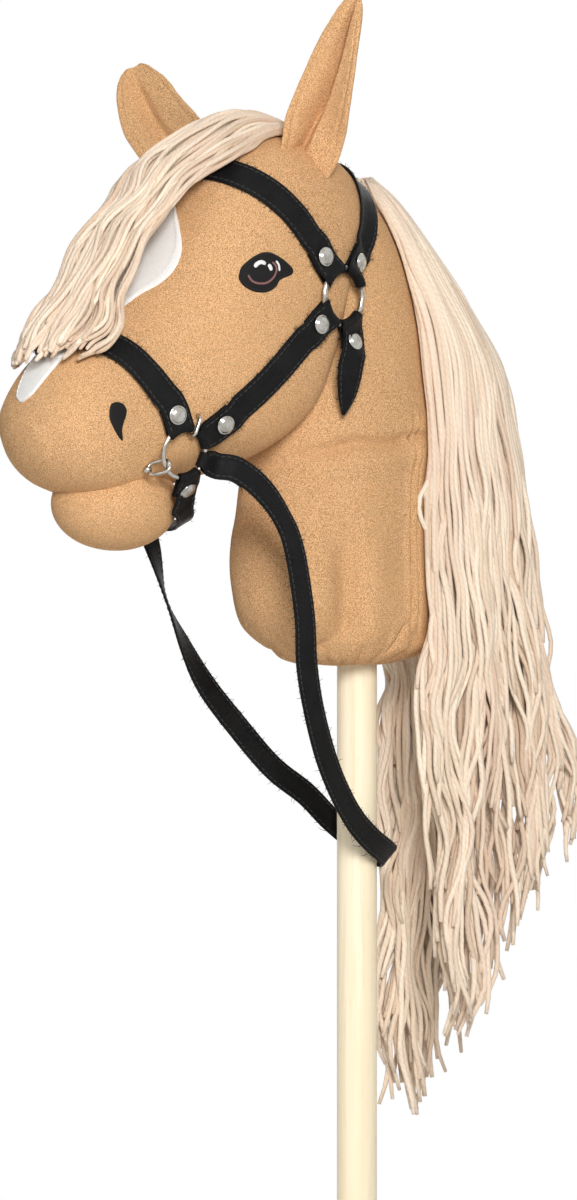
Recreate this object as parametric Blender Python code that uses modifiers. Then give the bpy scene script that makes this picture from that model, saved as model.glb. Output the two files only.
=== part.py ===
# Hobby horse: a stuffed plush head and neck on a round stick, with a yarn mane, a riveted
# strap bridle and one long rein. Metres, +Z up along the stick, the horse faces -Y and its
# left side is +X. The origin is the middle of the stick's lower end.
import math

import bmesh
import bpy
import numpy as np
from mathutils import Matrix, Vector
from mathutils.bvhtree import BVHTree

GAP = 0.0003  # clearance between pieces that touch

# stick and neck
STICK_D = 0.025
STICK_TOP = 0.78
NECK_BOTTOM = 0.538

# straps, rings and rivets
STRAP_W = 0.0185
STRAP_T = 0.0015
REIN_W = 0.016
TOP_R = 0.0176  # ring centrelines
BIT_R = 0.0156
WIRE_TOP = 0.0034
WIRE_BIT = 0.0026
RIVET_D = 0.012
RIVET_RISE = 0.003
SHANK_D = 0.003
BACK_D = 0.008
BACK_T = 0.0006
TO_LOOP = 0.0060  # from a ring's wire to where both layers of a strap have come together
TO_RIVET = 0.0090
TO_END = 0.0075  # from a rivet to the end of the folded layer
# how much further than that from the ring some rivets sit
BROW_MORE, NOSE_MORE, THROAT_MORE, CHEEK_MORE = 0.002, -0.0005, 0.0050, 0.008
UNDER = GAP + BACK_T + 0.0005  # underside of a strap's lower layer over the plush
REST = GAP + 0.0003  # underside of a single strap over the plush
REIN_LAP = 0.046
BAND_LIFT = 0.0008  # browband and crownpiece over the rounded top of the head
SAG = 0.0013  # how far a strap's edge bends down towards the plush
PATCH_T = 0.001
THREAD_T = 0.0006
SINK = 0.0008  # how far a patch goes into the plush before it is cut back to it

# the bit
BIT_D = 0.005
EYE_WIRE = 0.002
EYE_HALF = (0.0071, 0.0041)
EYE_TILT = -38.0  # turn of each eye about its long axis

# where the rings sit on the left side, and the way each strap leaves them (degrees, 0 = back)
TOP_RING = (0.060, -0.0585, 0.7665)
BIT_RING = (0.047, -0.1705, 0.6690)
BROW_DEG, CROWN_DEG, THROAT_DEG = 125.0, 54.0, -68.0
NOSE_DEG, REIN_DEG, CHIN_DEG, BIT_DEG, KEEPER_DEG = 109.5, -17.5, -71.0, 211.0, 70.0
PINCH = 0.7  # straps beside each other on the bit ring narrow to this share
REIN_PINCH, CHIN_PINCH = 0.64, 0.80
REIN_SLACK = 0.0004  # how much looser than the other straps the rein's loops are on their rings

for old in list(bpy.data.objects):
    bpy.data.objects.remove(old, do_unlink=True)
scene = bpy.context.scene
pieces = bpy.data.collections.new("hobby_horse")
cutters = bpy.data.collections.new("cutters")
scene.collection.children.link(pieces)
scene.collection.children.link(cutters)
cutters.hide_render = True


def material(name, colour, rough, metal=0.0):
    m = bpy.data.materials.new(name)
    m.use_nodes = True
    shader = m.node_tree.nodes["Principled BSDF"]
    shader.inputs["Base Color"].default_value = (*colour, 1)
    shader.inputs["Roughness"].default_value = rough
    shader.inputs["Metallic"].default_value = metal
    return m


WOOD = ("stick_wood", (0.75, 0.64, 0.44), 0.6)
PLUSH = (0.56, 0.36, 0.17)
BLACK = (0.012, 0.012, 0.013)
NICKEL = (0.66, 0.65, 0.62)
YARN = (0.76, 0.67, 0.56)
WHITE = (0.86, 0.85, 0.82)


def keep(obj, name, colour=None, rough=0.6, metal=0.0):
    """Names an object and files it: as a piece with its material, or with no colour as a cutter."""
    obj.name = obj.data.name = name
    for home in list(obj.users_collection):
        home.objects.unlink(obj)
    (pieces if colour else cutters).objects.link(obj)
    if colour:
        obj.data.materials.append(material(name, colour, rough, metal))
    else:
        obj.hide_render = True
        obj.display_type = "WIRE"
    if colour and obj.type == "MESH" and obj.data.polygons:
        obj.data.shade_smooth()
        obj.data.set_sharp_from_angle(angle=math.radians(50))
    return obj


def mesh_of(name, points, faces, at=(0, 0, 0)):
    """A mesh object from points and faces, with its origin at the point given."""
    mesh = bpy.data.meshes.new(name)
    local = np.asarray(points, float) - np.asarray(at, float)
    mesh.from_pydata(local.tolist(), [], [list(map(int, f)) for f in faces])
    mesh.validate()
    obj = bpy.data.objects.new(name, mesh)
    obj.location = at
    return obj


def add(name, points, faces, colour, rough=0.6, metal=0.0):
    """A closed mesh as an object, its faces turned outwards."""
    obj = mesh_of(name, points, faces)
    obj.data.calc_loop_triangles()
    co = np.array([v.co[:] for v in obj.data.vertices])
    tri = np.array([t.vertices[:] for t in obj.data.loop_triangles])
    if np.linalg.det(co[tri]).sum() < 0:
        obj.data.flip_normals()
    return keep(obj, name, colour, rough, metal)


def turned_to(direction):
    """The rotation that lays an object's Z axis along a direction."""
    return Vector(direction).to_track_quat("Z", "Y").to_euler()


def round_bar(name, start, end, width, sides, colour=None, rough=0.6, metal=0.0):
    """A cylinder from one point to another."""
    start, end = Vector(start), Vector(end)
    bpy.ops.mesh.primitive_cylinder_add(
        vertices=sides, radius=width / 2, depth=(end - start).length,
        location=(start + end) / 2, rotation=turned_to(end - start),
    )
    return keep(bpy.context.object, name, colour, rough, metal)


def turned(name, profile, place, sides, colour=None, rough=0.6, metal=0.0, mesh=None):
    """A profile of (distance out, height) turned about the normal at a place."""
    if mesh is None:
        mesh = bpy.data.meshes.new(name)
        points = [(r, 0, h) for r, h in profile[::-1]]
        mesh.from_pydata(points, [(i, i + 1) for i in range(len(points) - 1)], [])
    obj = bpy.data.objects.new(name, mesh)
    point, normal = place
    obj.location = point
    obj.rotation_euler = turned_to(normal)
    screw = obj.modifiers.new("turn", "SCREW")
    screw.steps = screw.render_steps = sides
    screw.use_merge_vertices = True
    screw.merge_threshold = 0.00001
    screw.use_smooth_shade = True
    return keep(obj, name, colour, rough, metal)


def wire(name, points, thick, cyclic=False, colour=None, rough=0.6, metal=0.0):
    """A round wire along points, as a curve."""
    curve = bpy.data.curves.new(name, "CURVE")
    curve.dimensions = "3D"
    curve.bevel_depth = thick / 2
    curve.bevel_resolution = 2
    curve.use_fill_caps = True
    run = curve.splines.new("POLY")
    run.points.add(len(points) - 1)
    for spot, place in zip(run.points, points):
        spot.co = (*place, 1)
    run.use_cyclic_u = cyclic
    return keep(bpy.data.objects.new(name, curve), name, colour, rough, metal)


def as_mesh(obj):
    """The curve as a mesh with its caps joined on, for a Boolean."""
    graph = bpy.context.evaluated_depsgraph_get()
    mesh = bpy.data.meshes.new_from_object(obj.evaluated_get(graph))
    joined = bmesh.new()
    joined.from_mesh(mesh)
    bmesh.ops.remove_doubles(joined, verts=joined.verts, dist=0.00001)
    joined.to_mesh(mesh)
    joined.free()
    other = bpy.data.objects.new(obj.name + "_solid", mesh)
    other.matrix_world = obj.matrix_world
    bpy.data.objects.remove(obj)
    return keep(other, other.name)


def grid_of(name, rows, at=(0, 0, 0)):
    """An open surface through rows of points."""
    rows = np.asarray(rows, float)
    k, n = rows.shape[:2]
    faces = [
        (i * n + j, i * n + j + 1, i * n + n + j + 1, i * n + n + j)
        for i in range(k - 1) for j in range(n - 1)
    ]
    return mesh_of(name, rows.reshape(-1, 3), faces, at)


def sheet(name, rows, thick, colour, rough, at=(0, 0, 0)):
    """A strap: a surface through rows of points, thickened to both sides."""
    return thicken(keep(grid_of(name, rows, at), name, colour, rough), thick, 0.0)


def thicken(obj, thick, side):
    """Gives an open surface its thickness: to both sides with 0, or to its back with -1."""
    shell = obj.modifiers.new("thickness", "SOLIDIFY")
    shell.thickness = thick
    shell.offset = side
    shell.use_even_offset = True
    shell.use_quality_normals = True
    return obj


def cut(obj, other, solver="EXACT"):
    modifier = obj.modifiers.new("cut_" + other.name, "BOOLEAN")
    modifier.operation = "DIFFERENCE"
    modifier.solver = solver
    modifier.object = other


def grown(obj, by, name):
    """A cutter: the same mesh with its surface moved out."""
    other = bpy.data.objects.new(name, obj.data.copy())
    other.location = obj.location
    cutters.objects.link(other)
    other.hide_render = True
    other.display_type = "WIRE"
    swell = other.modifiers.new("grow", "DISPLACE")
    swell.mid_level = 0
    swell.strength = by
    return other


def spline(rows, count):
    """Points evenly spread by parameter on a smooth curve through the rows."""
    p = np.asarray(rows, float)
    p = np.vstack([2 * p[0] - p[1], p, 2 * p[-1] - p[-2]])
    t = np.linspace(0, len(p) - 3, count)
    i = np.minimum(t.astype(int), len(p) - 4)
    f = (t - i)[:, None]
    a, b, c, d = p[i], p[i + 1], p[i + 2], p[i + 3]
    square, cube = 2 * a - 5 * b + 4 * c - d, 3 * b - a - 3 * c + d
    return 0.5 * (2 * b + (c - a) * f + square * f**2 + cube * f**3)


def at_lengths(points, lengths):
    """Points (with any further columns) at distances along a polyline of 3-D points."""
    run = np.r_[0, np.cumsum(np.linalg.norm(np.diff(points[:, :3], axis=0), axis=1))]
    return np.stack([np.interp(lengths, run, points[:, c]) for c in range(points.shape[1])], axis=1)


def length(points):
    return float(np.linalg.norm(np.diff(points[:, :3], axis=0), axis=1).sum())


def unit(v):
    v = np.asarray(v, float)
    return v / np.maximum(np.linalg.norm(v, axis=-1, keepdims=True), 1e-12)


def loft(rings, flat_ends=False):
    """A closed mesh through rings of points, each end closed with a fan or, where a section is
    cupped, with a strip from one side of it to the other."""
    rings = np.asarray(rings, float)
    k, n = rings.shape[:2]
    faces = []
    for i in range(k - 1):
        for j in range(n):
            a, b = i * n + j, i * n + (j + 1) % n
            faces.append((a, b, b + n, a + n))
    if flat_ends:
        for j in range(n // 2):
            strip = list(dict.fromkeys((j, j + 1, (n - j - 1) % n, (n - j) % n)))
            faces.append(strip[::-1])
            faces.append([(k - 1) * n + v for v in strip])
        return rings.reshape(-1, 3), faces
    points = np.vstack([rings.reshape(-1, 3), rings[0].mean(axis=0), rings[-1].mean(axis=0)])
    last = (k - 1) * n
    for j in range(n):
        faces.append((k * n, (j + 1) % n, j))
        faces.append((k * n + 1, last + j, last + (j + 1) % n))
    return points, faces


def round_section(n, power):
    """Unit outline between a circle and a rounded box."""
    a = np.arange(n) * 2 * math.pi / n
    c, s = np.cos(a), np.sin(a)
    return np.sign(c) * np.abs(c) ** (2 / power), np.sign(s) * np.abs(s) ** (2 / power)


def mirrored(points):
    return np.asarray(points) * np.array([-1, 1, 1])


# head: rows of top and bottom of each section (Y, Z), half width, share that the top is
# narrower, and how boxy the section is (2 is an ellipse)
HEAD = (
    (-0.014, 0.832, -0.036, 0.770, 0.032, 0.00, 2.25),
    (-0.025, 0.850, -0.050, 0.735, 0.047, 0.02, 2.35),
    (-0.052, 0.862, -0.062, 0.692, 0.056, 0.02, 2.75),
    (-0.092, 0.866, -0.088, 0.672, 0.060, 0.03, 2.95),
    (-0.130, 0.845, -0.118, 0.660, 0.060, 0.08, 2.60),
    (-0.160, 0.800, -0.147, 0.652, 0.055, 0.10, 2.30),
    (-0.187, 0.768, -0.170, 0.648, 0.049, 0.08, 2.25),
    (-0.214, 0.748, -0.187, 0.645, 0.047, 0.05, 2.25),
    (-0.239, 0.727, -0.208, 0.643, 0.047, 0.03, 2.25),
    (-0.254, 0.706, -0.231, 0.648, 0.040, 0.00, 2.25),
    (-0.261, 0.688, -0.250, 0.661, 0.020, 0.00, 2.25),
)
rings = []
for ty, tz, by, bz, half, slim, power in spline(HEAD, 24):
    c, s = round_section(30, power)
    top, bottom = np.array([0, ty, tz]), np.array([0, by, bz])
    x = half * s * (1 - slim * c)
    rings.append((top + bottom) / 2 + c[:, None] * (top - bottom) / 2 + x[:, None] * np.array([1, 0, 0]))
head = add("head", *loft(rings), PLUSH, 0.95)

# neck: rows of height, middle in Y, half width, half depth
NECK = (
    (NECK_BOTTOM, -0.004, 0.017, 0.017),
    (NECK_BOTTOM + 0.003, -0.010, 0.030, 0.036),
    (NECK_BOTTOM + 0.010, -0.007, 0.040, 0.052),
    (NECK_BOTTOM + 0.020, -0.013, 0.0455, 0.059),
    (NECK_BOTTOM + 0.036, -0.018, 0.049, 0.064),
    (0.605, -0.021, 0.050, 0.066),
    (0.650, -0.018, 0.050, 0.063),
    (0.700, -0.019, 0.050, 0.060),
    (0.750, -0.021, 0.049, 0.055),
    (0.790, -0.025, 0.046, 0.046),
    (0.820, -0.031, 0.039, 0.036),
    (0.838, -0.037, 0.028, 0.026),
    (0.846, -0.040, 0.014, 0.013),
)
c, s = round_section(22, 2.15)
rings = [
    np.stack([a * s, y - b * c, np.full(len(c), z)], axis=1) for z, y, a, b in spline(NECK, 19)
]
neck = add("neck", *loft(rings), PLUSH, 0.95)

# lower jaw: a full oval under the muzzle
JAW_AT, JAW_HALF = (0, -0.1875, 0.640), (0.036, 0.0403, 0.0295)
bpy.ops.mesh.primitive_uv_sphere_add(segments=20, ring_count=12, radius=1, location=JAW_AT)
lower_jaw = bpy.context.object
lower_jaw.data.transform(Matrix.Diagonal((*JAW_HALF, 1)))
keep(lower_jaw, "lower_jaw", PLUSH, 0.95)


def tree_of(*objects):
    """One search tree of several objects as they are before any cut."""
    points, faces = [], []
    for obj in objects:
        start = len(points)
        points += [v.co + obj.location for v in obj.data.vertices]
        faces += [[start + i for i in p.vertices] for p in obj.data.polygons]
    return BVHTree.FromPolygons(points, faces)


skin = tree_of(head, neck, lower_jaw)


def hit(point, direction, reach=0.08):
    """Where a ray from outside first meets the plush, and the face's normal."""
    origin = Vector(point) + Vector(direction) * reach
    where, normal, _, _ = skin.ray_cast(origin, -Vector(direction))
    if where is None:
        where, normal, _, _ = skin.find_nearest(Vector(point))
    return np.array(where), np.array(normal)


CORE = (np.array([0, -0.045, 0.775]), np.array([0, -0.205, 0.690]))


def outwards(point):
    """Direction from the middle line of the head through a point near its surface."""
    a, b = CORE
    t = np.clip(np.dot(point - a, b - a) / np.dot(b - a, b - a), 0, 1)
    return unit(point - (a + t * (b - a)))


class Ring:
    """Where a ring lies over the plush and the directions in its plane."""

    def __init__(self, near, radius, wire, tilt):
        self.radius = radius
        near = np.asarray(near, float)
        direction = outwards(near)
        self.under, _ = hit(near, direction)
        normals = []
        side = unit(np.cross(direction, (0, 0, 1)))
        up = np.cross(side, direction)
        for a in np.arange(16) * math.pi / 8:
            p = self.under + radius * (math.cos(a) * side + math.sin(a) * up)
            normals.append(hit(p, direction)[1])
        level = unit(np.mean(normals, axis=0))
        self.normal = unit(level * tilt + np.array([1, 0, 0]) * (1 - tilt))
        self.back = unit(np.array([0, 1, 0]) - self.normal * self.normal[1])
        self.up = np.cross(self.normal, self.back)
        self.wire = wire
        rise = []
        for a in np.arange(32) * math.pi / 16:
            p = self.under + radius * self.way(math.degrees(a))
            where, _ = hit(p, self.normal)
            rise.append(float(np.dot(where - self.under, self.normal)))
        self.centre = self.under + self.normal * (max(rise) + 2 * GAP + STRAP_T + wire / 2 + 0.0002)

    def way(self, degrees):
        a = math.radians(degrees)
        return math.cos(a) * self.back + math.sin(a) * self.up

    def flipped(self):
        other = object.__new__(Ring)
        other.wire, other.radius = self.wire, self.radius
        for key in ("under", "normal", "back", "up", "centre"):
            setattr(other, key, mirrored(getattr(self, key)))
        return other


top_ring = Ring(TOP_RING, TOP_R, WIRE_TOP, 1.0)
bit_ring = Ring(BIT_RING, BIT_R, WIRE_BIT, 0.35)


def fold_rows(ring, way, across, columns, pinch, start_deg=50, end_deg=270, slack=0.0):
    """Mid-surface rows of a strap's fold round a ring's wire, from above the wire to under it."""
    r = ring.wire / 2 + GAP + slack + STRAP_T / 2
    rows = []
    for psi in np.linspace(start_deg, end_deg, 6):
        a = math.radians(psi)
        out, up = ring.radius + r * math.cos(a), r * math.sin(a)
        row = []
        for s in columns * pinch:
            f = s / ring.radius
            turn = math.cos(f) * way + math.sin(f) * across
            row.append(ring.centre + out * turn + up * ring.normal)
        rows.append(row)
    return rows


COLUMNS = np.linspace(-0.5, 0.5, 4)


def on_plush(path, normals, lengths, heights, widths, extra=0.0):
    """Mid-surface rows that follow the plush at a height, at distances along a path on it.
    With no extra height given they stay straight across, as on a strap that hangs free."""
    rows = []
    total = at_lengths(np.hstack([path, normals]), np.asarray(lengths))
    ahead = at_lengths(path, np.asarray(lengths) + 0.002)
    behind = at_lengths(path, np.asarray(lengths) - 0.002)
    for i in range(len(lengths)):
        p, n = total[i, :3], unit(total[i, 3:])
        t = unit(ahead[i] - behind[i])
        b = unit(np.cross(t, n))
        n = np.cross(b, t)
        row = []
        for s in COLUMNS * widths[i]:
            off = 0.0
            if extra is not None:
                off = max(np.dot(hit(p + b * s, n, 0.03)[0] - p, n), -SAG) + extra
            row.append(p + b * s + n * (off + heights[i] + STRAP_T / 2))
        rows.append(row)
    return rows


def smooth(values, times=2):
    values = np.array(values)
    for _ in range(times):
        values[1:-1] = (values[:-2] + 2 * values[1:-1] + values[2:]) / 4
    return values


def surface_path(points):
    """A path pulled taut over the plush through points near it, with smoothed normals."""
    rough = spline(points, 120)
    out = np.array([outwards(p) for p in rough])
    laid = np.array([hit(p, d)[0] for p, d in zip(rough, out)])
    step = length(laid) / len(laid)
    for _ in range(int((0.006 / step) ** 2 * 2)):
        laid = smooth(laid, 1)
        for i, (p, d) in enumerate(zip(laid, out)):
            lift = np.dot(hit(p, d)[0] - p, d)
            if lift > 0:
                laid[i] = p + d * lift
    laid = smooth(laid, 2)
    normals = np.array([hit(p, d)[1] for p, d in zip(laid, out)])
    return laid, unit(smooth(normals, int((0.014 / step) ** 2 * 2)))


def hanging_path(ring, degrees, points, facing, dip):
    """A path that leaves its ring freely and is only held off the plush where it would meet it.
    Its normals turn from the ring's to the facing given, or to straight out from the head.
    The dip is its slope towards the head from the ring's wire on."""
    low = ring.centre - ring.normal * (UNDER + STRAP_T + GAP / 2)
    loop = ring.radius + TO_LOOP
    out = [
        low + ring.way(degrees) * d - ring.normal * dip * max(d - ring.radius, 0)
        for d in (0, loop / 2, ring.radius, loop + 0.005)
    ]
    path = spline(out + [np.array(q) for q in points], 120)
    run = np.r_[0, np.cumsum(np.linalg.norm(np.diff(path, axis=0), axis=1))]
    turn = np.clip((run - loop) / 0.024, 0, 1)[:, None]
    aims = np.array([outwards(p) if facing is None else facing for p in path])
    normals = unit(ring.normal * (1 - turn) + unit(aims) * turn)
    for _ in range(3):
        lifts = []
        for i, (p, n) in enumerate(zip(path, normals)):
            t = unit(path[min(i + 1, 119)] - path[max(i - 1, 0)])
            b = unit(np.cross(t, n))
            offs = [0.0]
            for s in np.linspace(-0.5, 0.5, 5) * STRAP_W:
                origin = p + b * s + n * 0.03
                where, _, _, _ = skin.ray_cast(Vector(origin), -Vector(n), 0.06)
                if where is not None:
                    offs.append(float(np.dot(np.array(where) - p, n)))
            lifts.append(max(offs) if run[i] > ring.radius else 0.0)
        wide = [max(lifts[max(i - 3, 0):i + 4]) for i in range(len(lifts))]
        path = path + normals * smooth(wide, 8)[:, None]
    return path, normals


def layered(from_rivet):
    """Height of the upper layer of a strap over the plush, by distance from a rivet."""
    return float(np.interp(from_rivet, [TO_END + 0.0005, TO_END + 0.0075], [UNDER + STRAP_T + GAP, REST]))


def lap_rows(ring, more):
    """Distances from a ring's centre of the rows of the folded layer and of the layer over it."""
    loop, rivet = ring.radius + TO_LOOP + 0.0005, ring.radius + TO_RIVET + more
    end = rivet + TO_END
    near = [loop, rivet - 0.001, rivet + 0.004, end]
    return np.array(near[::-1]), np.array(near + [end + 0.004, end + 0.0075])


def strap_rows(
    path, normals, start, end, width, pinches=(1.0, 1.0), extra=0.0, taper=None, more=(0.0, 0.0)
):
    """All mid-surface rows of a strap from one ring to the next, or to a tapered free end."""
    total = length(path)
    lap, near = lap_rows(start, more[0])
    rivet = start.radius + TO_RIVET + more[0]
    rows = list(on_plush(path, normals, lap, [UNDER] * 4, [width] * 4, extra))
    steps = [layered(v - rivet) for v in near]
    first = on_plush(path, normals, near, steps, [width] * len(near), extra)
    rows += fold_at(start, rows[-1], width, pinches[0])[::-1]
    rows += first
    stop = total
    if end is not None:
        lap, back = lap_rows(end, more[1])
        stop = total - back[-1]
    middle = np.linspace(near[-1], stop, max(2, int(round((stop - near[-1]) / 0.0110)) + 1))[1:]
    if end is not None:
        middle = middle[:-1]
    widths = [width] * len(middle)
    if taper:
        shares = np.interp(total - middle, [0, taper[0]], [taper[1], 1])
        widths = list(width * shares)
    rows += on_plush(path, normals, middle, [REST] * len(middle), widths, extra)
    if end is None:
        return rows
    rivet = end.radius + TO_RIVET + more[1]
    steps = [layered(v - rivet) for v in back[::-1]]
    rows += on_plush(path, normals, total - back[::-1], steps, [width] * len(back), extra)
    under = on_plush(path, normals, total - lap[::-1], [UNDER] * 4, [width] * 4, extra)
    rows += fold_at(end, under[0], width, pinches[1])
    rows += under
    return rows


def fold_at(ring, row, width, pinch):
    """The fold at a ring, lined up with the strap row nearest to it."""
    row = np.asarray(row)
    middle = row.mean(axis=0) - ring.centre
    way = unit(middle - ring.normal * np.dot(middle, ring.normal))
    across = unit(np.cross(ring.normal, way))
    if np.dot(across, row[-1] - row[0]) < 0:
        across = -across
    return fold_rows(ring, way, across, COLUMNS * width, pinch)


def rivet_place(path, normals, distance, extra=0.0):
    """Point on the plush under a rivet and the strap's own normal there."""
    at = at_lengths(np.hstack([path, normals]), np.array([distance]))[0]
    n = unit(at[3:])
    before, after = at_lengths(path, np.array([distance - 0.002, distance + 0.002]))
    t = unit(after - before)
    b = unit(np.cross(t, n))
    n = np.cross(b, t)
    if extra is None:
        return at[:3], n
    return hit(at[:3], n, 0.03)[0] + n * extra, n


def rivet(name, place):
    """Domed cap, shank and back cap through both layers of a strap, on one shared profile."""
    low = GAP + 0.0001
    seat = UNDER + 2 * STRAP_T + GAP + GAP
    r, shank = RIVET_D / 2, SHANK_D / 2
    profile = [
        (0, low),
        (BACK_D / 2 - 0.0003, low),
        (BACK_D / 2 - 0.0001, low + BACK_T),
        (shank, low + BACK_T),
        (shank, seat),
        (r - 0.0004, seat),
        (r, seat + 0.0006),
        (r * 0.82, seat + RIVET_RISE * 0.72),
        (r * 0.45, seat + RIVET_RISE * 0.96),
        (0, seat + RIVET_RISE),
    ]
    return turned(name, profile, place, 10, NICKEL, 0.25, 1.0)


def rivet_room(name, place):
    """A cutter with a little room round a rivet, so that its cap can press into the strap."""
    low, seat = GAP + 0.0001, UNDER + 2 * STRAP_T + 2 * GAP
    shank, cap, back = SHANK_D / 2 + GAP, RIVET_D / 2 + GAP, BACK_D / 2 + GAP
    profile = [
        (0, low - GAP), (back, low - GAP), (back, low + BACK_T + 0.0001),
        (shank, low + BACK_T + 0.0001), (shank, seat - 0.0001), (cap, seat - 0.0001),
        (cap, seat + 0.006), (0, seat + 0.006),
    ]
    return turned(name, profile, place, 10)


def bridle_strap(
    name, path, normals, start, end, rivets, pinches=(1.0, 1.0), extra=0.0, taper=None,
    more=(0.0, 0.0),
):
    """One riveted strap and its rivets, named from the start of the path."""
    mid = strap_rows(path, normals, start, end, STRAP_W, pinches, extra, taper, more)
    obj = sheet(name, mid, STRAP_T, BLACK, 0.42)
    distances = [start.radius + TO_RIVET + more[0]]
    if end is not None:
        distances.append(length(path) - end.radius - TO_RIVET - more[1])
    places = [rivet_place(path, normals, d, extra) for d in distances]
    for rivet_name, place in zip(rivets, places):
        rivet(rivet_name, place)
        cut(obj, rivet_room("room_" + rivet_name, place), "MANIFOLD")
    return obj


def half_to_whole(path, normals):
    """A path from the left side to the middle, carried on to the right side."""
    path, normals = np.array(path), np.array(normals)
    path[-1, 0] = 0
    normals[-1, 0] = 0
    return (
        np.vstack([path, mirrored(path[-2::-1])]),
        unit(np.vstack([normals, mirrored(normals[-2::-1])])),
    )


def start_points(ring, degrees):
    """The first points of a strap, straight out from the middle of its ring."""
    return [ring.under + ring.way(degrees) * d for d in (0.0, 0.014, 0.028)]


def whole_strap(ring, degrees, points):
    """A symmetric path from the left ring over the middle to the right ring."""
    path, normals = surface_path(start_points(ring, degrees) + [np.array(p) for p in points])
    return half_to_whole(path, normals)


# browband over the forehead, crownpiece over the poll, noseband over the nose, chin strap
BANDS = {
    "browband": (
        top_ring, BROW_DEG,
        ((0.057, -0.090, 0.812), (0.040, -0.118, 0.836), (0.019, -0.130, 0.846), (0.0, -0.133, 0.848)),
    ),
    "crownpiece": (
        top_ring, CROWN_DEG,
        ((0.046, -0.026, 0.812), (0.030, -0.019, 0.838), (0.012, -0.017, 0.850), (0.0, -0.017, 0.852)),
    ),
    "noseband": (
        bit_ring, NOSE_DEG,
        ((0.045, -0.192, 0.712), (0.034, -0.208, 0.730), (0.017, -0.226, 0.740), (0.0, -0.232, 0.742)),
    ),
    "chin_strap": (
        bit_ring, CHIN_DEG,
        (
            (0.0355, -0.1560, 0.6400), (0.0275, -0.1515, 0.6375), (0.015, -0.1470, 0.6385),
            (0.0, -0.1450, 0.6400),
        ),
    ),
}
for name, (ring, degrees, points) in BANDS.items():
    extra = {"noseband": PATCH_T + GAP, "chin_strap": None}.get(name, BAND_LIFT)
    if extra is None:
        path, normals = half_to_whole(*hanging_path(ring, degrees, points, None, 0.75))
    else:
        path, normals = whole_strap(ring, degrees, points)
    short = name.replace("_strap", "")
    rivets = ["left_" + short + "_rivet", "right_" + short + "_rivet"]
    more = {"browband": BROW_MORE, "noseband": NOSE_MORE}.get(name, 0.0)
    pinch = CHIN_PINCH if name == "chin_strap" else 1.0
    bridle_strap(
        name, path, normals, ring, ring.flipped(), rivets, (pinch, pinch), extra, more=(more, more)
    )

# cheekpieces join the two rings of a side; throat straps run to the crease behind the cheek
to_bit = bit_ring.under - top_ring.under
cheek_path = surface_path([top_ring.under + to_bit * t for t in np.linspace(0, 1, 7)])
throat_path = hanging_path(
    top_ring, THROAT_DEG,
    ((0.0585, -0.0470, 0.7260), (0.0535, -0.0480, 0.7080), (0.0505, -0.0505, 0.6940)),
    (0.98, 0.20, 0.0), 0.10,
)
for side, sign in (("left", 1), ("right", -1)):
    if sign == 1:
        top, bit_at, cheek, throat = top_ring, bit_ring, cheek_path, throat_path
    else:
        top, bit_at = top_ring.flipped(), bit_ring.flipped()
        cheek, throat = [mirrored(v) for v in cheek_path], [mirrored(v) for v in throat_path]
    bridle_strap(
        side + "_cheekpiece", *cheek, top, bit_at,
        [side + "_cheek_top_rivet", side + "_cheek_bottom_rivet"],
        pinches=(1.0, PINCH), more=(0.0, CHEEK_MORE),
    )
    bridle_strap(
        side + "_throat_strap", *throat, top, None,
        [side + "_throat_rivet"], extra=None, taper=(0.036, 0.30), more=(THROAT_MORE, 0.0),
    )
    for name, ring in (("upper_ring", top), ("bit_ring", bit_at)):
        bpy.ops.mesh.primitive_torus_add(
            major_segments=26, minor_segments=8, major_radius=ring.radius,
            minor_radius=ring.wire / 2, location=ring.centre, rotation=turned_to(ring.normal),
        )
        keep(bpy.context.object, side + "_" + name, NICKEL, 0.2, 1.0)

# long rein: rows of X, Y, Z and the extra twist of the flat strap in degrees
LEFT_REIN = (
    (0.0555, -0.136, 0.6600, 0), (0.0590, -0.121, 0.6490, 0), (0.0610, -0.108, 0.6330, 10),
    (0.0620, -0.098, 0.6120, 14), (0.0620, -0.090, 0.5720, 20), (0.0580, -0.085, 0.5410, 16),
    (0.0520, -0.075, 0.5130, 16), (0.0440, -0.060, 0.4850, 6), (0.0360, -0.043, 0.4620, 0),
    (0.0290, -0.025, 0.4430, 0), (0.0230, -0.007, 0.4300, 0), (0.0165, 0.009, 0.4220, 0),
    (0.0090, 0.0175, 0.4185, 0),
)
RIGHT_REIN = (
    (-0.0540, -0.144, 0.6560, 0), (-0.0530, -0.1315, 0.6400, 0), (-0.0490, -0.1215, 0.6120, 20),
    (-0.0460, -0.113, 0.5790, 55), (-0.0470, -0.098, 0.5510, 30), (-0.0470, -0.082, 0.5260, 8),
    (-0.0440, -0.060, 0.5000, 0), (-0.0380, -0.037, 0.4740, 0), (-0.0310, -0.016, 0.4570, 0),
    (-0.0240, -0.002, 0.4410, 0), (-0.0165, 0.010, 0.4290, 0), (-0.0090, 0.0175, 0.4205, 0),
)
BEND = (0.0, STICK_D / 2 + GAP + 0.0072, 0.4180, 0)


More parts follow.
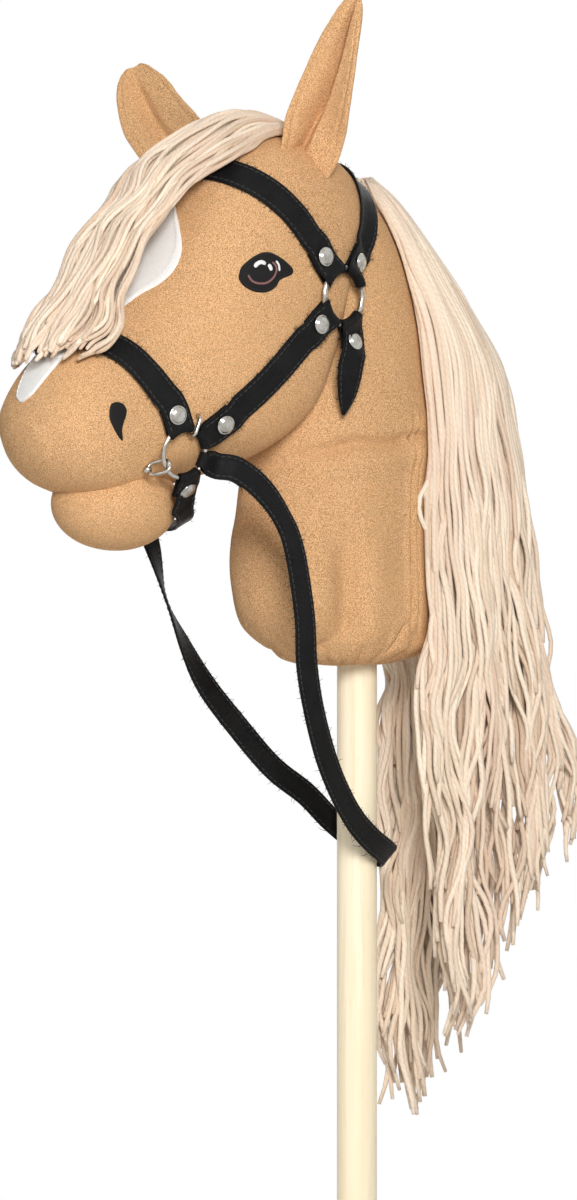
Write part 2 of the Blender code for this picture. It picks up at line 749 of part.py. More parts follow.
def rein_rows():
    """Mid-surface rows of the rein from the fold on the left bit ring to that on the right one."""
    flip = bit_ring.flipped()
    loop = bit_ring.radius + TO_LOOP
    lap = REIN_LAP - loop + 0.006
    starts = []
    for ring in (bit_ring, flip):
        way = ring.way(REIN_DEG)
        starts.append([np.r_[ring.centre + way * d, 0] for d in (loop, loop + 0.006)])
    rough = starts[0] + [np.array(r) for r in LEFT_REIN] + [np.array(BEND)]
    rough += [np.array(r) for r in RIGHT_REIN[::-1]] + starts[1][::-1]
    line = spline(rough, 600)
    total = length(line)
    between = np.linspace(lap, total - lap, 50)[1:-1]
    steps = np.r_[np.linspace(0, lap, 6), between, total - np.linspace(lap, 0, 6)]
    at = at_lengths(line, steps)
    points, twist = at[:, :3], np.radians(at[:, 3])
    t = unit(at_lengths(line, steps + 0.003)[:, :3] - at_lengths(line, steps - 0.003)[:, :3])
    # the flat of the strap follows the fall of the rein seen from the side
    side = np.where(steps < total * 0.5, 1.0, -1.0)
    fall = np.stack([np.zeros(len(t)), t[:, 1] * side, t[:, 2] * side], axis=1)
    near_bend = np.abs(points[:, 0]) < 0.030
    low = points[:, 2] < 0.46
    fall[near_bend & low] = (0, 0.69, -0.72)
    fall = unit(smooth(unit(fall), 3))
    wide = np.stack([np.zeros(len(t)), -fall[:, 2], fall[:, 1]], axis=1)
    wide = unit(wide - t * (wide * t).sum(axis=1)[:, None])
    face = np.cross(wide, t)
    wide = wide * np.cos(twist)[:, None] + face * (np.sin(twist) * side)[:, None]
    face = np.cross(wide, t)
    round_stick = (np.abs(points[:, :1]) < 0.012) * face[:, 1:2] * 0.03
    face = face * np.where(face[:, :1] * points[:, :1] + round_stick > 0, 1.0, -1.0)
    columns = np.linspace(-0.5, 0.5, 3) * REIN_W
    shift = (STRAP_T + GAP) / 2
    grid = points[:, None] + columns[None, :, None] * wide[:, None] + face[:, None] * shift
    under = points[:, None] + columns[None, :, None] * wide[:, None] - face[:, None] * shift
    folds = []
    for ring, index in ((bit_ring, 0), (flip, -1)):
        way = ring.way(REIN_DEG)
        across = unit(np.cross(ring.normal, way))
        if np.dot(across, wide[index]) < 0:
            across = -across
        folds.append(fold_rows(ring, way, across, columns, REIN_PINCH, 65, 295, REIN_SLACK))
    first, last = list(under[:5][::-1]), list(under[-5:][::-1])
    return first + folds[0][::-1] + list(grid) + folds[1] + last


rein_axis = np.array([0, bit_ring.centre[1], bit_ring.centre[2]])
reins = sheet("reins", rein_rows(), STRAP_T, BLACK, 0.42, at=rein_axis)

# bit: a bar through the mouth with a long eye round each bit ring
eye_out = bit_ring.way(BIT_DEG)
wire_at = bit_ring.centre + BIT_R * eye_out
wire_run = np.cross(bit_ring.normal, eye_out)
eye_long = np.array([-0.78, -0.58, -0.22])
eye_long = unit(eye_long - wire_run * np.dot(eye_long, wire_run))
eye_turn = math.radians(EYE_TILT)
eye_wide = math.cos(eye_turn) * np.cross(wire_run, eye_long) + math.sin(eye_turn) * wire_run
eye_mid = wire_at + eye_long * (EYE_HALF[0] - EYE_WIRE / 2 - WIRE_BIT / 2 - 0.0008)
a = (np.arange(20) + 0.5) * 2 * math.pi / 20
long, wide = np.cos(a), np.sin(a)
reach = EYE_HALF[1] * long + (EYE_HALF[0] - EYE_HALF[1]) * np.sign(long)
eye = eye_mid + eye_long * reach[:, None] + eye_wide * (EYE_HALF[1] * wide)[:, None]
bar_at = eye_mid + eye_long * (EYE_HALF[0] - 0.0002)
bar_end = bar_at[0] + BIT_D / 4
bar_at = bar_at * np.array([0, 1, 1])
out_to = np.array([1, 0, 0])
bit = round_bar("bit", bar_at - bar_end * out_to, bar_at + bar_end * out_to, BIT_D, 12, NICKEL, 0.22, 1.0)
for side, points in (("left", eye), ("right", mirrored(eye)[::-1])):
    join = bit.modifiers.new("eye_" + side, "BOOLEAN")
    join.operation = "UNION"
    join.solver = "EXACT"
    join.object = as_mesh(wire("eye_" + side, points, EYE_WIRE, cyclic=True))
room_end = bar_end + 0.012
bit_room = round_bar(
    "bit_room", bar_at - room_end * out_to, bar_at + room_end * out_to, BIT_D + 4 * GAP, 14
)
cut(head, bit_room)
cut(lower_jaw, bit_room)
slot_wide = EYE_HALF[1] + EYE_WIRE / 2 + 2 * GAP
slot_more = EYE_HALF[0] - EYE_HALF[1]
slot = eye_mid + eye_long * (slot_wide * long + slot_more * np.sign(long))[:, None]
slot = slot + eye_wide * (slot_wide * wide)[:, None]
slot_half = np.cross(eye_long, eye_wide) * (EYE_WIRE / 2 + 2 * GAP)
for side, sign in (("left", 1), ("right", -1)):
    m = np.array([sign, 1, 1])
    eye_room = add("eye_room_" + side, *loft([(slot - slot_half) * m, (slot + slot_half) * m]), None)
    cut(head, eye_room)
    cut(lower_jaw, eye_room)

# keeper: a wire staple over each bit ring, between the noseband and the cheekpiece
way = bit_ring.way(KEEPER_DEG)
KEEPER_WIRE = 0.0024
high = WIRE_BIT / 2 + GAP + KEEPER_WIRE / 2 + 0.0002
foot_in, foot_out = BIT_R - 0.0042, BIT_R + 0.0085
legs = []
for r in (foot_in, foot_out):
    p = bit_ring.centre + way * r
    where, _ = hit(p, bit_ring.normal)
    legs.append(float(np.dot(where - bit_ring.centre, bit_ring.normal)) + GAP + 0.0004)
shape = [
    (foot_in, legs[0]), (foot_in, legs[0] * 0.5), (foot_in + 0.0003, high * 0.45),
    (foot_in + 0.0016, high), (BIT_R, high), (foot_out - 0.0020, high * 0.8),
    (foot_out - 0.0003, high * 0.2), (foot_out, legs[1] * 0.5), (foot_out, legs[1]),
]
staple = [bit_ring.centre + way * r + bit_ring.normal * h for r, h in spline(shape, 17)]
for side, points in (("left", staple), ("right", mirrored(staple))):
    wire(side + "_keeper", points, KEEPER_WIRE, colour=NICKEL, rough=0.2, metal=1.0)


def patch_on(name, centre, normal, up, outline, thick, colour, rough, rings=3):
    """A thin piece that lies on the plush inside an outline given in the plane it is seen in."""
    normal = unit(normal)
    up = unit(np.asarray(up, float) - normal * np.dot(up, normal))
    side = np.cross(up, normal)
    outline = np.asarray(outline, float)
    middle = outline.mean(axis=0)
    points = []
    for share in [0.0] + list(np.linspace(1 / rings, 1, rings)):
        for q in outline if share else outline[:1]:
            x, y = middle + (q - middle) * share
            where, _ = hit(centre + side * x + up * y, normal, 0.03)
            points.append(where + normal * (GAP + thick))
    n = len(outline)
    faces = []
    for j in range(n):
        k = (j + 1) % n
        faces.append((0, 1 + j, 1 + k))
        for a in range(1, 1 + (rings - 1) * n, n):
            faces.append((a + j, a + n + j, a + n + k, a + k))
    return draped(mesh_of(name, points, faces), name, normal, thick, colour, rough)


def draped(obj, name, normal, thick, colour, rough):
    """Turns an open surface's faces out and gives it a thickness down into the plush."""
    obj.data.update()
    if np.dot(sum((np.array(f.normal) for f in obj.data.polygons), np.zeros(3)), normal) < 0:
        obj.data.flip_normals()
    return thicken(keep(obj, name, colour, rough), thick + GAP + SINK, -1.0)


# embroidered eyes: almond outline, X towards the back of the head
EYE_AT = (0.056, -0.115, 0.7785)
EYE_OUTLINE = (
    (-0.0190, -0.0040), (-0.0172, 0.0025), (-0.0132, 0.0075), (-0.0075, 0.0108), (-0.0008, 0.0116),
    (0.0058, 0.0098), (0.0122, 0.0064), (0.0176, 0.0024), (0.0190, 0.0002), (0.0170, -0.0028),
    (0.0112, -0.0062), (0.0044, -0.0092), (-0.0026, -0.0116), (-0.0098, -0.0120), (-0.0155, -0.0094),
)
NOSTRIL_AT = (0.042, -0.2175, 0.690)
NOSTRIL_OUTLINE = (
    (-0.0062, 0.0070), (-0.0042, 0.0100), (0.0000, 0.0108), (0.0042, 0.0092), (0.0062, 0.0050),
    (0.0056, 0.0005), (0.0040, -0.0045), (0.0032, -0.0100), (0.0034, -0.0128), (0.0016, -0.0118),
    (-0.0018, -0.0080), (-0.0047, -0.0025), (-0.0062, 0.0020),
)
patches = []
for name, near, outline in (("eye", EYE_AT, EYE_OUTLINE), ("nostril", NOSTRIL_AT, NOSTRIL_OUTLINE)):
    near = np.array(near)
    where, normal = hit(near, outwards(near))
    spread = 0.008 * np.array([(0, 1, 0), (0, -1, 0), (0, 0, 1), (0, 0, -1)])
    normal = unit(np.mean([hit(near + d, outwards(near))[1] for d in spread], axis=0))
    for side, sign in (("left", 1), ("right", -1)):
        m = np.array([sign, 1, 1])
        flat = (np.array(outline) * np.array([sign, 1]))[::sign]
        patches.append(
            patch_on(side + "_" + name, where * m, normal * m, (0, 0, 1), flat, THREAD_T, BLACK, 0.6)
        )

# white blaze: rows of Y, Z near the profile and half width
BLAZE = (
    (-0.149, 0.823, 0.007), (-0.156, 0.811, 0.018), (-0.162, 0.798, 0.027), (-0.168, 0.786, 0.030),
    (-0.176, 0.776, 0.027), (-0.188, 0.766, 0.0195), (-0.207, 0.752, 0.0160), (-0.227, 0.738, 0.0155),
    (-0.241, 0.724, 0.0145), (-0.249, 0.712, 0.0110), (-0.253, 0.704, 0.0050),
)
rows = spline(BLAZE, 17)
grid = []
for i, (y, z, half) in enumerate(rows):
    a, b = rows[max(i - 1, 0)], rows[min(i + 1, len(rows) - 1)]
    n = unit(np.array([0, b[1] - a[1], a[0] - b[0]]))
    across = np.linspace(-half, half, 5)
    grid.append([hit(np.array([x, y, z]), n, 0.03)[0] + n * (GAP + PATCH_T) for x in across])
blaze_patch = draped(grid_of("blaze_patch", grid), "blaze_patch", (0, -1, 0), PATCH_T, WHITE, 0.85)

head_room = grown(head, GAP, "head_room")
for patch in [blaze_patch] + patches:
    cut(patch, head_room)
neck_room = grown(neck, GAP, "neck_room")


def ear(name, points, facing, widths, cup):
    """A cupped leaf along a line from its root inside the head to its tip."""
    line = spline(points, 60)
    share = 1 - (1 - np.linspace(0, 1, 14)) ** 1.25
    line = at_lengths(line, share * length(line))
    along = unit(np.gradient(line, axis=0))
    q = np.linspace(-1, 1, 8)
    rings = []
    for i, p in enumerate(line):
        front = unit(np.asarray(facing, float) - along[i] * np.dot(facing, along[i]))
        side = np.cross(along[i], front)
        half = np.interp(share[i], *widths)
        deep = min(np.interp(share[i], *cup), 0.6 * half)
        thick = min(0.0085 - 0.003 * share[i], 0.9 * half)
        x = half * q
        y = -deep * (1 - q**2)
        edge = thick / 2 * np.sqrt(np.maximum(1 - q**4, 0))
        slope = unit(np.stack([-2 * deep * q / max(half, 1e-6), np.ones(len(q))], axis=1))
        back = np.stack([x - slope[:, 0] * edge, y - slope[:, 1] * edge], axis=1)
        fore = np.stack([x + slope[:, 0] * edge, y + slope[:, 1] * edge], axis=1)[1:-1][::-1]
        outline = np.vstack([back, fore])
        rings.append(p + outline[:, :1] * side + outline[:, 1:] * front)
    obj = add(name, *loft(rings, flat_ends=True), PLUSH, 0.95)
    cut(obj, head_room)
    return obj


ear(
    "left_ear",
    (
        (0.034, -0.077, 0.834), (0.0463, -0.0730, 0.8544), (0.0512, -0.0720, 0.873),
        (0.0588, -0.070, 0.8956), (0.0705, -0.066, 0.929), (0.0787, -0.062, 0.9510),
    ),
    (0.50, -0.86, 0.05),
    (
        [0, 0.1, 0.19, 0.32, 0.5, 0.63, 0.76, 0.9, 0.96, 1],
        [0.009, 0.0125, 0.0155, 0.0190, 0.0178, 0.0155, 0.0125, 0.0083, 0.0055, 0.0025],
    ),
    ([0, 0.3, 1], [0.012, 0.012, 0.003]),
)
ear(
    "right_ear",
    (
        (-0.034, -0.077, 0.834), (-0.060, -0.0770, 0.852), (-0.092, -0.076, 0.867),
        (-0.114, -0.0745, 0.883), (-0.130, -0.073, 0.902), (-0.1375, -0.072, 0.9155),
    ),
    (0.50, -0.85, 0.20),
    (
        [0, 0.1, 0.3, 0.5, 0.7, 0.8, 0.88, 0.94, 0.98, 1],
        [0.010, 0.0140, 0.0205, 0.0228, 0.0220, 0.0202, 0.0172, 0.0135, 0.0095, 0.0060],
    ),
    ([0, 0.3, 1], [0.012, 0.010, 0.003]),
)

cut(neck, head_room)
cut(lower_jaw, head_room)

# stick, and its room in the neck
stick = round_bar("stick", (0, 0, 0), (0, 0, STICK_TOP), STICK_D, 28, WOOD[1], WOOD[2])
edge = stick.modifiers.new("edge", "BEVEL")
edge.width = 0.001
edge.segments = 1
bore = round_bar(
    "stick_room", (0, 0, NECK_BOTTOM - 0.02), (0, 0, STICK_TOP + GAP), STICK_D + 2 * GAP, 28
)
cut(neck, bore)

# forelock: rows of Y, Z, half width, half thickness, drop of its sides
FORELOCK = (
    (-0.056, 0.865, 0.018, 0.0045, 0.003), (-0.072, 0.872, 0.025, 0.0070, 0.006),
    (-0.098, 0.874, 0.031, 0.0080, 0.011),
    (-0.120, 0.867, 0.034, 0.0075, 0.012), (-0.142, 0.853, 0.035, 0.0080, 0.010),
    (-0.158, 0.837, 0.036, 0.009, 0.006),
    (-0.174, 0.819, 0.036, 0.009, 0.003), (-0.195, 0.796, 0.036, 0.009, 0.000),
    (-0.215, 0.773, 0.036, 0.008, 0.0),
    (-0.230, 0.756, 0.035, 0.007, 0.0), (-0.242, 0.743, 0.032, 0.005, 0.0),
    (-0.250, 0.733, 0.025, 0.003, 0.0),
)
rows = spline(FORELOCK, 15)
c, s = round_section(14, 2.6)
rings = []
for i, (y, z, half, thick, drop) in enumerate(rows):
    a, b = rows[max(i - 1, 0)], rows[min(i + 1, len(rows) - 1)]
    n = unit(np.array([0, (b[1] - a[1]), -(b[0] - a[0])]))
    wide = (half * c)[:, None] * np.array([1, 0, 0])
    rings.append(np.array([0, y, z]) + wide + (thick * s - drop * c**2)[:, None] * n)
forelock = add("forelock", *loft(rings), YARN, 0.95)
cut(forelock, head_room)

# mane: two falls, rows of height, inner and outer X, front and back Y
CREST = (
    (0.843, 0.001, 0.009, 0.001, 0.008), (0.830, 0.001, 0.025, -0.001, 0.016),
    (0.812, 0.001, 0.036, 0.000, 0.026),
    (0.790, 0.001, 0.046, 0.002, 0.039), (0.762, 0.001, 0.052, 0.005, 0.058),
    (0.726, 0.001, 0.055, 0.008, 0.084),
    (0.690, 0.001, 0.056, 0.009, 0.095), (0.650, 0.001, 0.057, 0.010, 0.104),
    (0.600, 0.002, 0.057, 0.012, 0.112),
)
FALLS = {
    "left": (
        (0.562, 0.012, 0.057, 0.014, 0.118), (0.535, 0.028, 0.056, 0.016, 0.121),
        (0.512, 0.032, 0.055, 0.018, 0.126),
        (0.470, 0.032, 0.054, 0.020, 0.134), (0.425, 0.031, 0.053, 0.022, 0.136),
        (0.395, 0.031, 0.051, 0.024, 0.120),
        (0.360, 0.030, 0.049, 0.030, 0.102), (0.320, 0.031, 0.046, 0.038, 0.076),
        (0.300, 0.032, 0.043, 0.042, 0.067),
        (0.287, 0.034, 0.040, 0.047, 0.060),
    ),
    "right": (
        (0.562, 0.012, 0.057, 0.032, 0.118), (0.535, 0.028, 0.056, 0.050, 0.121),
        (0.512, 0.032, 0.055, 0.054, 0.126),
        (0.470, 0.029, 0.054, 0.054, 0.134), (0.425, 0.029, 0.053, 0.052, 0.138),
        (0.395, 0.030, 0.051, 0.050, 0.130),
        (0.360, 0.030, 0.049, 0.048, 0.118), (0.320, 0.031, 0.046, 0.048, 0.102),
        (0.285, 0.032, 0.043, 0.052, 0.094),
        (0.250, 0.033, 0.041, 0.064, 0.088), (0.236, 0.034, 0.039, 0.070, 0.083),
    ),
}
c, s = round_section(14, 2.7)
for side, sign in (("left", 1), ("right", -1)):
    rings = []
    for z, x0, x1, y0, y1 in spline(CREST + FALLS[side], 20):
        x, y = (x0 + x1) / 2 + (x1 - x0) / 2 * c, (y0 + y1) / 2 + (y1 - y0) / 2 * s
        rings.append(np.stack([sign * x, y, np.full(len(c), z)], axis=1))
    fall = add("mane_" + side, *loft(rings), YARN, 0.95)
    cut(fall, neck_room)
    cut(fall, head_room)
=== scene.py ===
"""Looks for the hobby horse: plush, yarn, straps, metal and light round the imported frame."""
import math

import bpy
import numpy as np
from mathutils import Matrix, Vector, noise
from mathutils.bvhtree import BVHTree


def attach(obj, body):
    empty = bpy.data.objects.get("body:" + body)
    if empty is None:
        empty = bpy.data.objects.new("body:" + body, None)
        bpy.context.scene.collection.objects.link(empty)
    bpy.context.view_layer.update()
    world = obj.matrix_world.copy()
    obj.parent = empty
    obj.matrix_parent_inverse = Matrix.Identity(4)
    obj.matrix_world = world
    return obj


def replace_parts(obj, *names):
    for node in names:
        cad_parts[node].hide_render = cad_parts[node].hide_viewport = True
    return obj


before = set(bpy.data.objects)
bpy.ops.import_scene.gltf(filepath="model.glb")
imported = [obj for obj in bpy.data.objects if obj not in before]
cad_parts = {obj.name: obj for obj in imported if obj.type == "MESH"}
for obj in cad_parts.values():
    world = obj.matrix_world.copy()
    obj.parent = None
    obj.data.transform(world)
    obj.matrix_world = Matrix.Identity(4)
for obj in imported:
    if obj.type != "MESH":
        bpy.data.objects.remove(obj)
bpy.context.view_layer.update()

rng = np.random.default_rng(11)
noise.seed_set(5)
X, Y, Z = np.eye(3)

# sizes shared with the part's source, in metres
GAP = 0.0003
STICK_D, STICK_TOP, NECK_BOTTOM = 0.025, 0.780, 0.538
STRAP_W, STRAP_T, REIN_W = 0.0185, 0.0015, 0.016
RIVET_D, RIVET_RISE = 0.012, 0.003
# each ring: its radius, its wire, and how far its middle lies over the plush
TOP_RING, BIT_RING = (0.0176, 0.0034, 0.00425), (0.0156, 0.0026, 0.00742)
EYE_HALF, EYE_WIRE, BIT_D, KEEPER_WIRE = (0.0071, 0.0041), 0.002, 0.005, 0.0024
PATCH_T = 0.001

# a strap's end: from the ring's wire to its fold and to its rivet, and from the rivet to its end
TO_LOOP, TO_RIVET, TO_END = 0.0060, 0.0090, 0.0075
BROW_MORE, NOSE_MORE, THROAT_MORE, CHEEK_MORE = 0.002, -0.0005, 0.0050, 0.008
REIN_LAP = 0.046
# heights over the plush of a strap's folded layer and of its single layer
UNDER, REST, BAND_LIFT = 0.0014, 0.0006, 0.0004
SAG = 0.0013
# how narrow a strap is drawn in at its fold
TIGHT, REIN_TIGHT, CHIN_TIGHT = 0.70, 0.64, 0.80
# how far along it a path is pulled taut and its normals are evened, how far a hanging strap takes to
# turn to its own facing, and the step between a strap's rows
TAUT, EVEN, TURNING, ROW_STEP = 0.006, 0.014, 0.024, 0.003

# a stitch: its length, its step and its thread, then places along it, its rise and its thickness
STITCH, STITCH_STEP, STITCH_D = 0.0027, 0.0038, 0.00068
STITCH_PLACES = np.array([0, 0.06, 0.3, 0.7, 0.94, 1])
STITCH_RISE = np.array([-0.00035, 0.0, 0.00016, 0.00016, 0.0, -0.00035])
STITCH_ROUND = np.array([0.6, 0.9, 1, 1, 0.9, 0.6])
# loose hairs of cut edges: step along an edge, shortest and longest, and those of the rein's bend
HAIR_STEP, HAIR, BEND_HAIR, REIN_HAIRS = 0.0008, (0.0006, 0.0030), (0.0015, 0.0060), 420
HAIR_D = (0.00042, 0.00016)
YARN_R, YARN_PITCH, STRAND_POINTS = 0.00165, 0.0046, 60
PILE = 1800.0


# points on smooth lines
def unit(v):
    """The same directions with a length of 1."""
    v = np.asarray(v, float)
    return v / np.maximum(np.linalg.norm(v, axis=-1, keepdims=True), 1e-12)


def spline(rows, count):
    """Points evenly spread by parameter on a smooth curve through the rows."""
    p = np.asarray(rows, float)
    p = np.vstack([2 * p[0] - p[1], p, 2 * p[-1] - p[-2]])
    t = np.linspace(0, len(p) - 3, count)
    i = np.minimum(t.astype(int), len(p) - 4)
    f = (t - i)[:, None]
    a, b, c, d = p[i], p[i + 1], p[i + 2], p[i + 3]
    square, cube = 2 * a - 5 * b + 4 * c - d, 3 * b - a - 3 * c + d
    return 0.5 * (2 * b + (c - a) * f + square * f**2 + cube * f**3)


def distances(points):
    """Distance of each point from the first, along the line."""
    return np.r_[0, np.cumsum(np.linalg.norm(np.diff(points[:, :3], axis=0), axis=1))]


def length(points):
    return float(distances(points)[-1])


def at_lengths(points, lengths):
    """Points, with any further columns, at distances along a line of 3-D points."""
    run = distances(points)
    return np.stack([np.interp(lengths, run, column) for column in points.T], axis=1)


def smooth(values, times=2):
    values = np.array(values)
    for _ in range(times):
        values[1:-1] = (values[:-2] + 2 * values[1:-1] + values[2:]) / 4
    return values


def passes(reach, step):
    """How often a line of points with a step is smoothed for a reach along it."""
    return int((reach / step) ** 2 * 2)


def ease(x):
    """Goes smoothly from 0 to 1."""
    x = np.clip(x, 0, 1)
    return x * x * (3 - 2 * x)


def bell(x, wide):
    return np.exp(-((x / wide) ** 2))


def boxed(value, power):
    """A sine or cosine, bent so that its circle becomes a rounded box; 2 leaves the circle."""
    return np.sign(value) * np.abs(value) ** (2 / power)


def angles(n):
    return np.arange(n) * 2 * math.pi / n


def circle(n, side, up):
    """Steps of length 1 all round, in the plane of two directions."""
    a = angles(n)[:, None]
    return np.cos(a) * side + np.sin(a) * up


def mirrored(points):
    return np.asarray(points) * np.array([-1, 1, 1])


def on_left(point):
    """The point itself, or its mirror image if it is on the right."""
    return point * (math.copysign(1, point[0]), 1, 1)


def lumps(points, size, seed=0.0):
    """Smooth noise from -1 to 1 at points, with lumps of the given size."""
    return np.array([noise.noise(Vector(p) / size + Vector((seed, 0, 0))) for p in points])


def drift(places):
    """A smooth random push for each place, alike for near places."""
    return np.array([noise.noise_vector(Vector(p)) for p in places])


# materials
class Flow:
    """A value that runs from a socket. Arithmetic on it adds Math nodes."""

    def __init__(self, nodes, socket):
        self.nodes = nodes
        self.socket = socket

    def math(self, operation, *others):
        return self.nodes.node("Math", {"operation": operation}, dict(enumerate((self, *others))))

    def __add__(self, other):
        return self.math("ADD", other)

    def __sub__(self, other):
        return self.math("SUBTRACT", other)

    def __mul__(self, other):
        return self.math("MULTIPLY", other)

    def __rsub__(self, other):
        return self.nodes.node("Math", {"operation": "SUBTRACT"}, {0: other, 1: self})

    __radd__ = __add__
    __rmul__ = __mul__


class Nodes:
    """The nodes of a material or of the world."""

    def __init__(self, tree):
        self.tree = tree

    def node(self, kind, settings=None, sockets=None, out=0):
        """Adds a node with its settings, then its values and links, and gives one of its outputs."""
        made = self.tree.nodes.new("ShaderNode" + kind)
        for key, value in (settings or {}).items():
            setattr(made, key, value)
        for key, value in (sockets or {}).items():
            self.feed(made.inputs[key], value)
        return Flow(self, made.outputs[out])

    def feed(self, socket, value):
        """Links a value to a socket, or sets the socket to a number or a colour."""
        if isinstance(value, Flow):
            self.tree.links.new(value.socket, socket)
        elif hasattr(value, "__len__") and socket.type == "RGBA":
            socket.default_value = (*value, 1)
        else:
            socket.default_value = value


class Finish(Nodes):
    """A material and its shader."""

    def __init__(self, name, **constants):
        self.material = bpy.data.materials.new(name)
        self.material.use_nodes = True
        super().__init__(self.material.node_tree)
        self.shader = self.tree.nodes["Principled BSDF"]
        for socket, value in constants.items():
            self.set(socket.replace("_", " "), value)

    def set(self, socket, value):
        self.feed(self.shader.inputs[socket], value)

    def place(self):
        return self.node("TexCoord", out="Object")

    def strand(self):
        """How far round and how far along a strand a point is, from the UVs."""
        uv = self.node("UVMap", {"uv_map": "strand"})
        return [self.node("SeparateXYZ", None, {0: uv}, out=axis) for axis in ("X", "Y")]

    def stretched(self, vector, scale):
        return self.node("Mapping", None, {"Vector": vector, "Scale": scale})

    def grain(self, vector, scale, detail=2.0, rough=0.5):
        sockets = {"Vector": vector, "Scale": scale, "Detail": detail, "Roughness": rough}
        return self.node("TexNoise", None, sockets, out="Fac")

    def span(self, value, low, high, to_low=0.0, to_high=1.0):
        """The value, with its span from low to high spread over another span."""
        sockets = {0: value, 1: low, 2: high, 3: to_low, 4: to_high}
        return self.node("MapRange", None, sockets)

    def blend(self, factor, a, b):
        """Colour a where the factor is 0 and colour b where it is 1."""
        return self.node("Mix", {"data_type": "RGBA"}, {0: factor, 6: a, 7: b}, out=2)

    def bump(self, height, deep, strength=1.0):
        sockets = {"Height": height, "Distance": deep, "Strength": strength}
        self.set("Normal", self.node("Bump", None, sockets))


def plush_finish(name, light, dark, warm, sheen):
    """Short woolly pile: fine speckle, soft lighter and darker areas, and a felted bump."""
    f = Finish(name, Sheen_Weight=sheen, Sheen_Roughness=0.45, Sheen_Tint=light, Specular_IOR_Level=0.15)
    place = f.place()
    pile = f.grain(place, PILE, 3.0, 0.6)
    tufts = f.grain(place, PILE * 0.6, 2.0, 0.55)
    hairs = f.grain(place, PILE * 2.4, 1.0)
    areas = f.grain(place, 21.0)
    speck = f.span(pile * 0.7 + tufts * 0.15 + hairs * 0.15, 0.42, 0.575)
    colour = f.blend(speck, dark, light)
    f.set("Base Color", f.blend(f.span(areas, 0.36, 0.68) * 0.25, colour, warm))
    f.set("Roughness", f.span(tufts, 0.3, 0.7, 0.86, 0.98))
    f.bump(pile * 0.6 + tufts * 0.5 + hairs * 0.25, 0.0011, 0.75)
    return f.material


def yarn_finish():
    """Soft two-ply yarn: strands lighter and darker at random with painted shade on the inner ones, plies
    in a twist with painted shade in the grooves between them, and loose fuzz.
    """
    sheen = {"Sheen_Weight": 0.22, "Sheen_Roughness": 0.4, "Sheen_Tint": (1.0, 0.93, 0.84)}
    f = Finish("cream_yarn", Specular_IOR_Level=0.2, **sheen)
    around, along = f.strand()
    place = f.place()
    twist = ((around * 2 + along * (1 / YARN_PITCH)) * (2 * math.pi)).math("SINE")
    fine = ((around * 8 + along * (3.4 / YARN_PITCH)) * (2 * math.pi)).math("SINE")
    ply = f.span(twist, -1.0, 0.1)
    fuzz = f.grain(place, 900.0, 3.0, 0.65)
    # each strand's darkness: random, and painted darker as shade for strands that lie deeper in the yarn
    tone_and_shade = f.node("Attribute", {"attribute_name": "tone_and_shade"}, out="Fac")
    faded = f.grain(f.stretched(place, (1.0, 1.0, 0.25)), 38.0)
    colour = f.blend(tone_and_shade, (0.92, 0.785, 0.63), (0.66, 0.485, 0.34))
    colour = f.blend(f.span(faded, 0.4, 0.7) * 0.4, colour, (0.80, 0.60, 0.48))
    # painted shade: the grooves between the plies are darker
    colour = f.blend((1 - ply) * 0.15, colour, (0.60, 0.44, 0.31))
    f.set("Base Color", f.blend(f.span(fuzz, 0.52, 0.75) * 0.4, colour, (0.97, 0.89, 0.78)))
    f.set("Roughness", f.span(fuzz, 0.3, 0.7, 0.78, 0.95))
    f.bump(ply * 0.26 + fuzz * 0.8 + fine * 0.06, 0.0007, 0.8)
    return f.material


def strap_finish():
    """Black faux leather: satin, with a fine pebbled grain and slightly worn, duller areas."""
    f = Finish("black_strap", Specular_IOR_Level=0.085)
    place = f.place()
    cells = f.node("TexVoronoi", {"feature": "DISTANCE_TO_EDGE"}, {"Vector": place, "Scale": 1150.0})
    grain = f.grain(place, 1500.0)
    worn = f.grain(place, 70.0, 3.0, 0.6)
    dust = f.span(f.grain(place, 2100.0), 0.60, 0.72)
    colour = f.blend(f.span(worn, 0.35, 0.7), (0.0040, 0.0040, 0.0043), (0.0085, 0.0083, 0.0083))
    f.set("Base Color", f.blend(dust * 0.22, colour, (0.040, 0.037, 0.035)))
    f.set("Roughness", f.span(worn, 0.3, 0.7, 0.30, 0.46) + f.span(cells, 0.0, 0.3) * -0.05)
    f.bump(f.span(cells, 0.0, 0.22) * 0.7 + grain * 0.5, 0.00022, 0.8)
    return f.material


def thread_finish(name, dark, light, step):
    """Thread: filaments laid across the piece's own line, a step apart, painted in stripes of highlight
    along them and shade between them.
    """
    f = Finish(name, Specular_IOR_Level=0.12)
    around, along = f.strand()
    # painted highlight and shade: lighter and darker stripes across the filaments
    laid = f.span(((along * (1 / step) + around * 0.8) * (2 * math.pi)).math("SINE"), -1.0, 1.0)
    uneven = f.grain(f.place(), 1400.0)
    f.set("Base Color", f.blend(laid * 0.6 + uneven * 0.3, dark, light))
    f.set("Roughness", f.span(uneven, 0.3, 0.7, 0.4, 0.6))
    f.bump(laid * 0.8 + uneven * 0.4, 0.00018, 0.7)
    return f.material


def nickel_finish():
    """Nickel plate: bright, with fine rubbed scratches and small duller spots."""
    f = Finish("nickel_plate", Metallic=1.0)
    place = f.place()
    rubbed = f.grain(f.stretched(place, (1.0, 6.0, 1.0)), 420.0, 3.0, 0.7)
    spots = f.grain(place, 260.0)
    f.set("Base Color", f.blend(f.span(spots, 0.4, 0.75), (0.50, 0.485, 0.455), (0.32, 0.30, 0.26)))
    f.set("Roughness", f.span(rubbed, 0.35, 0.7, 0.13, 0.30))
    f.bump(rubbed * 0.6 + spots * 0.4, 0.00008, 0.5)
    return f.material


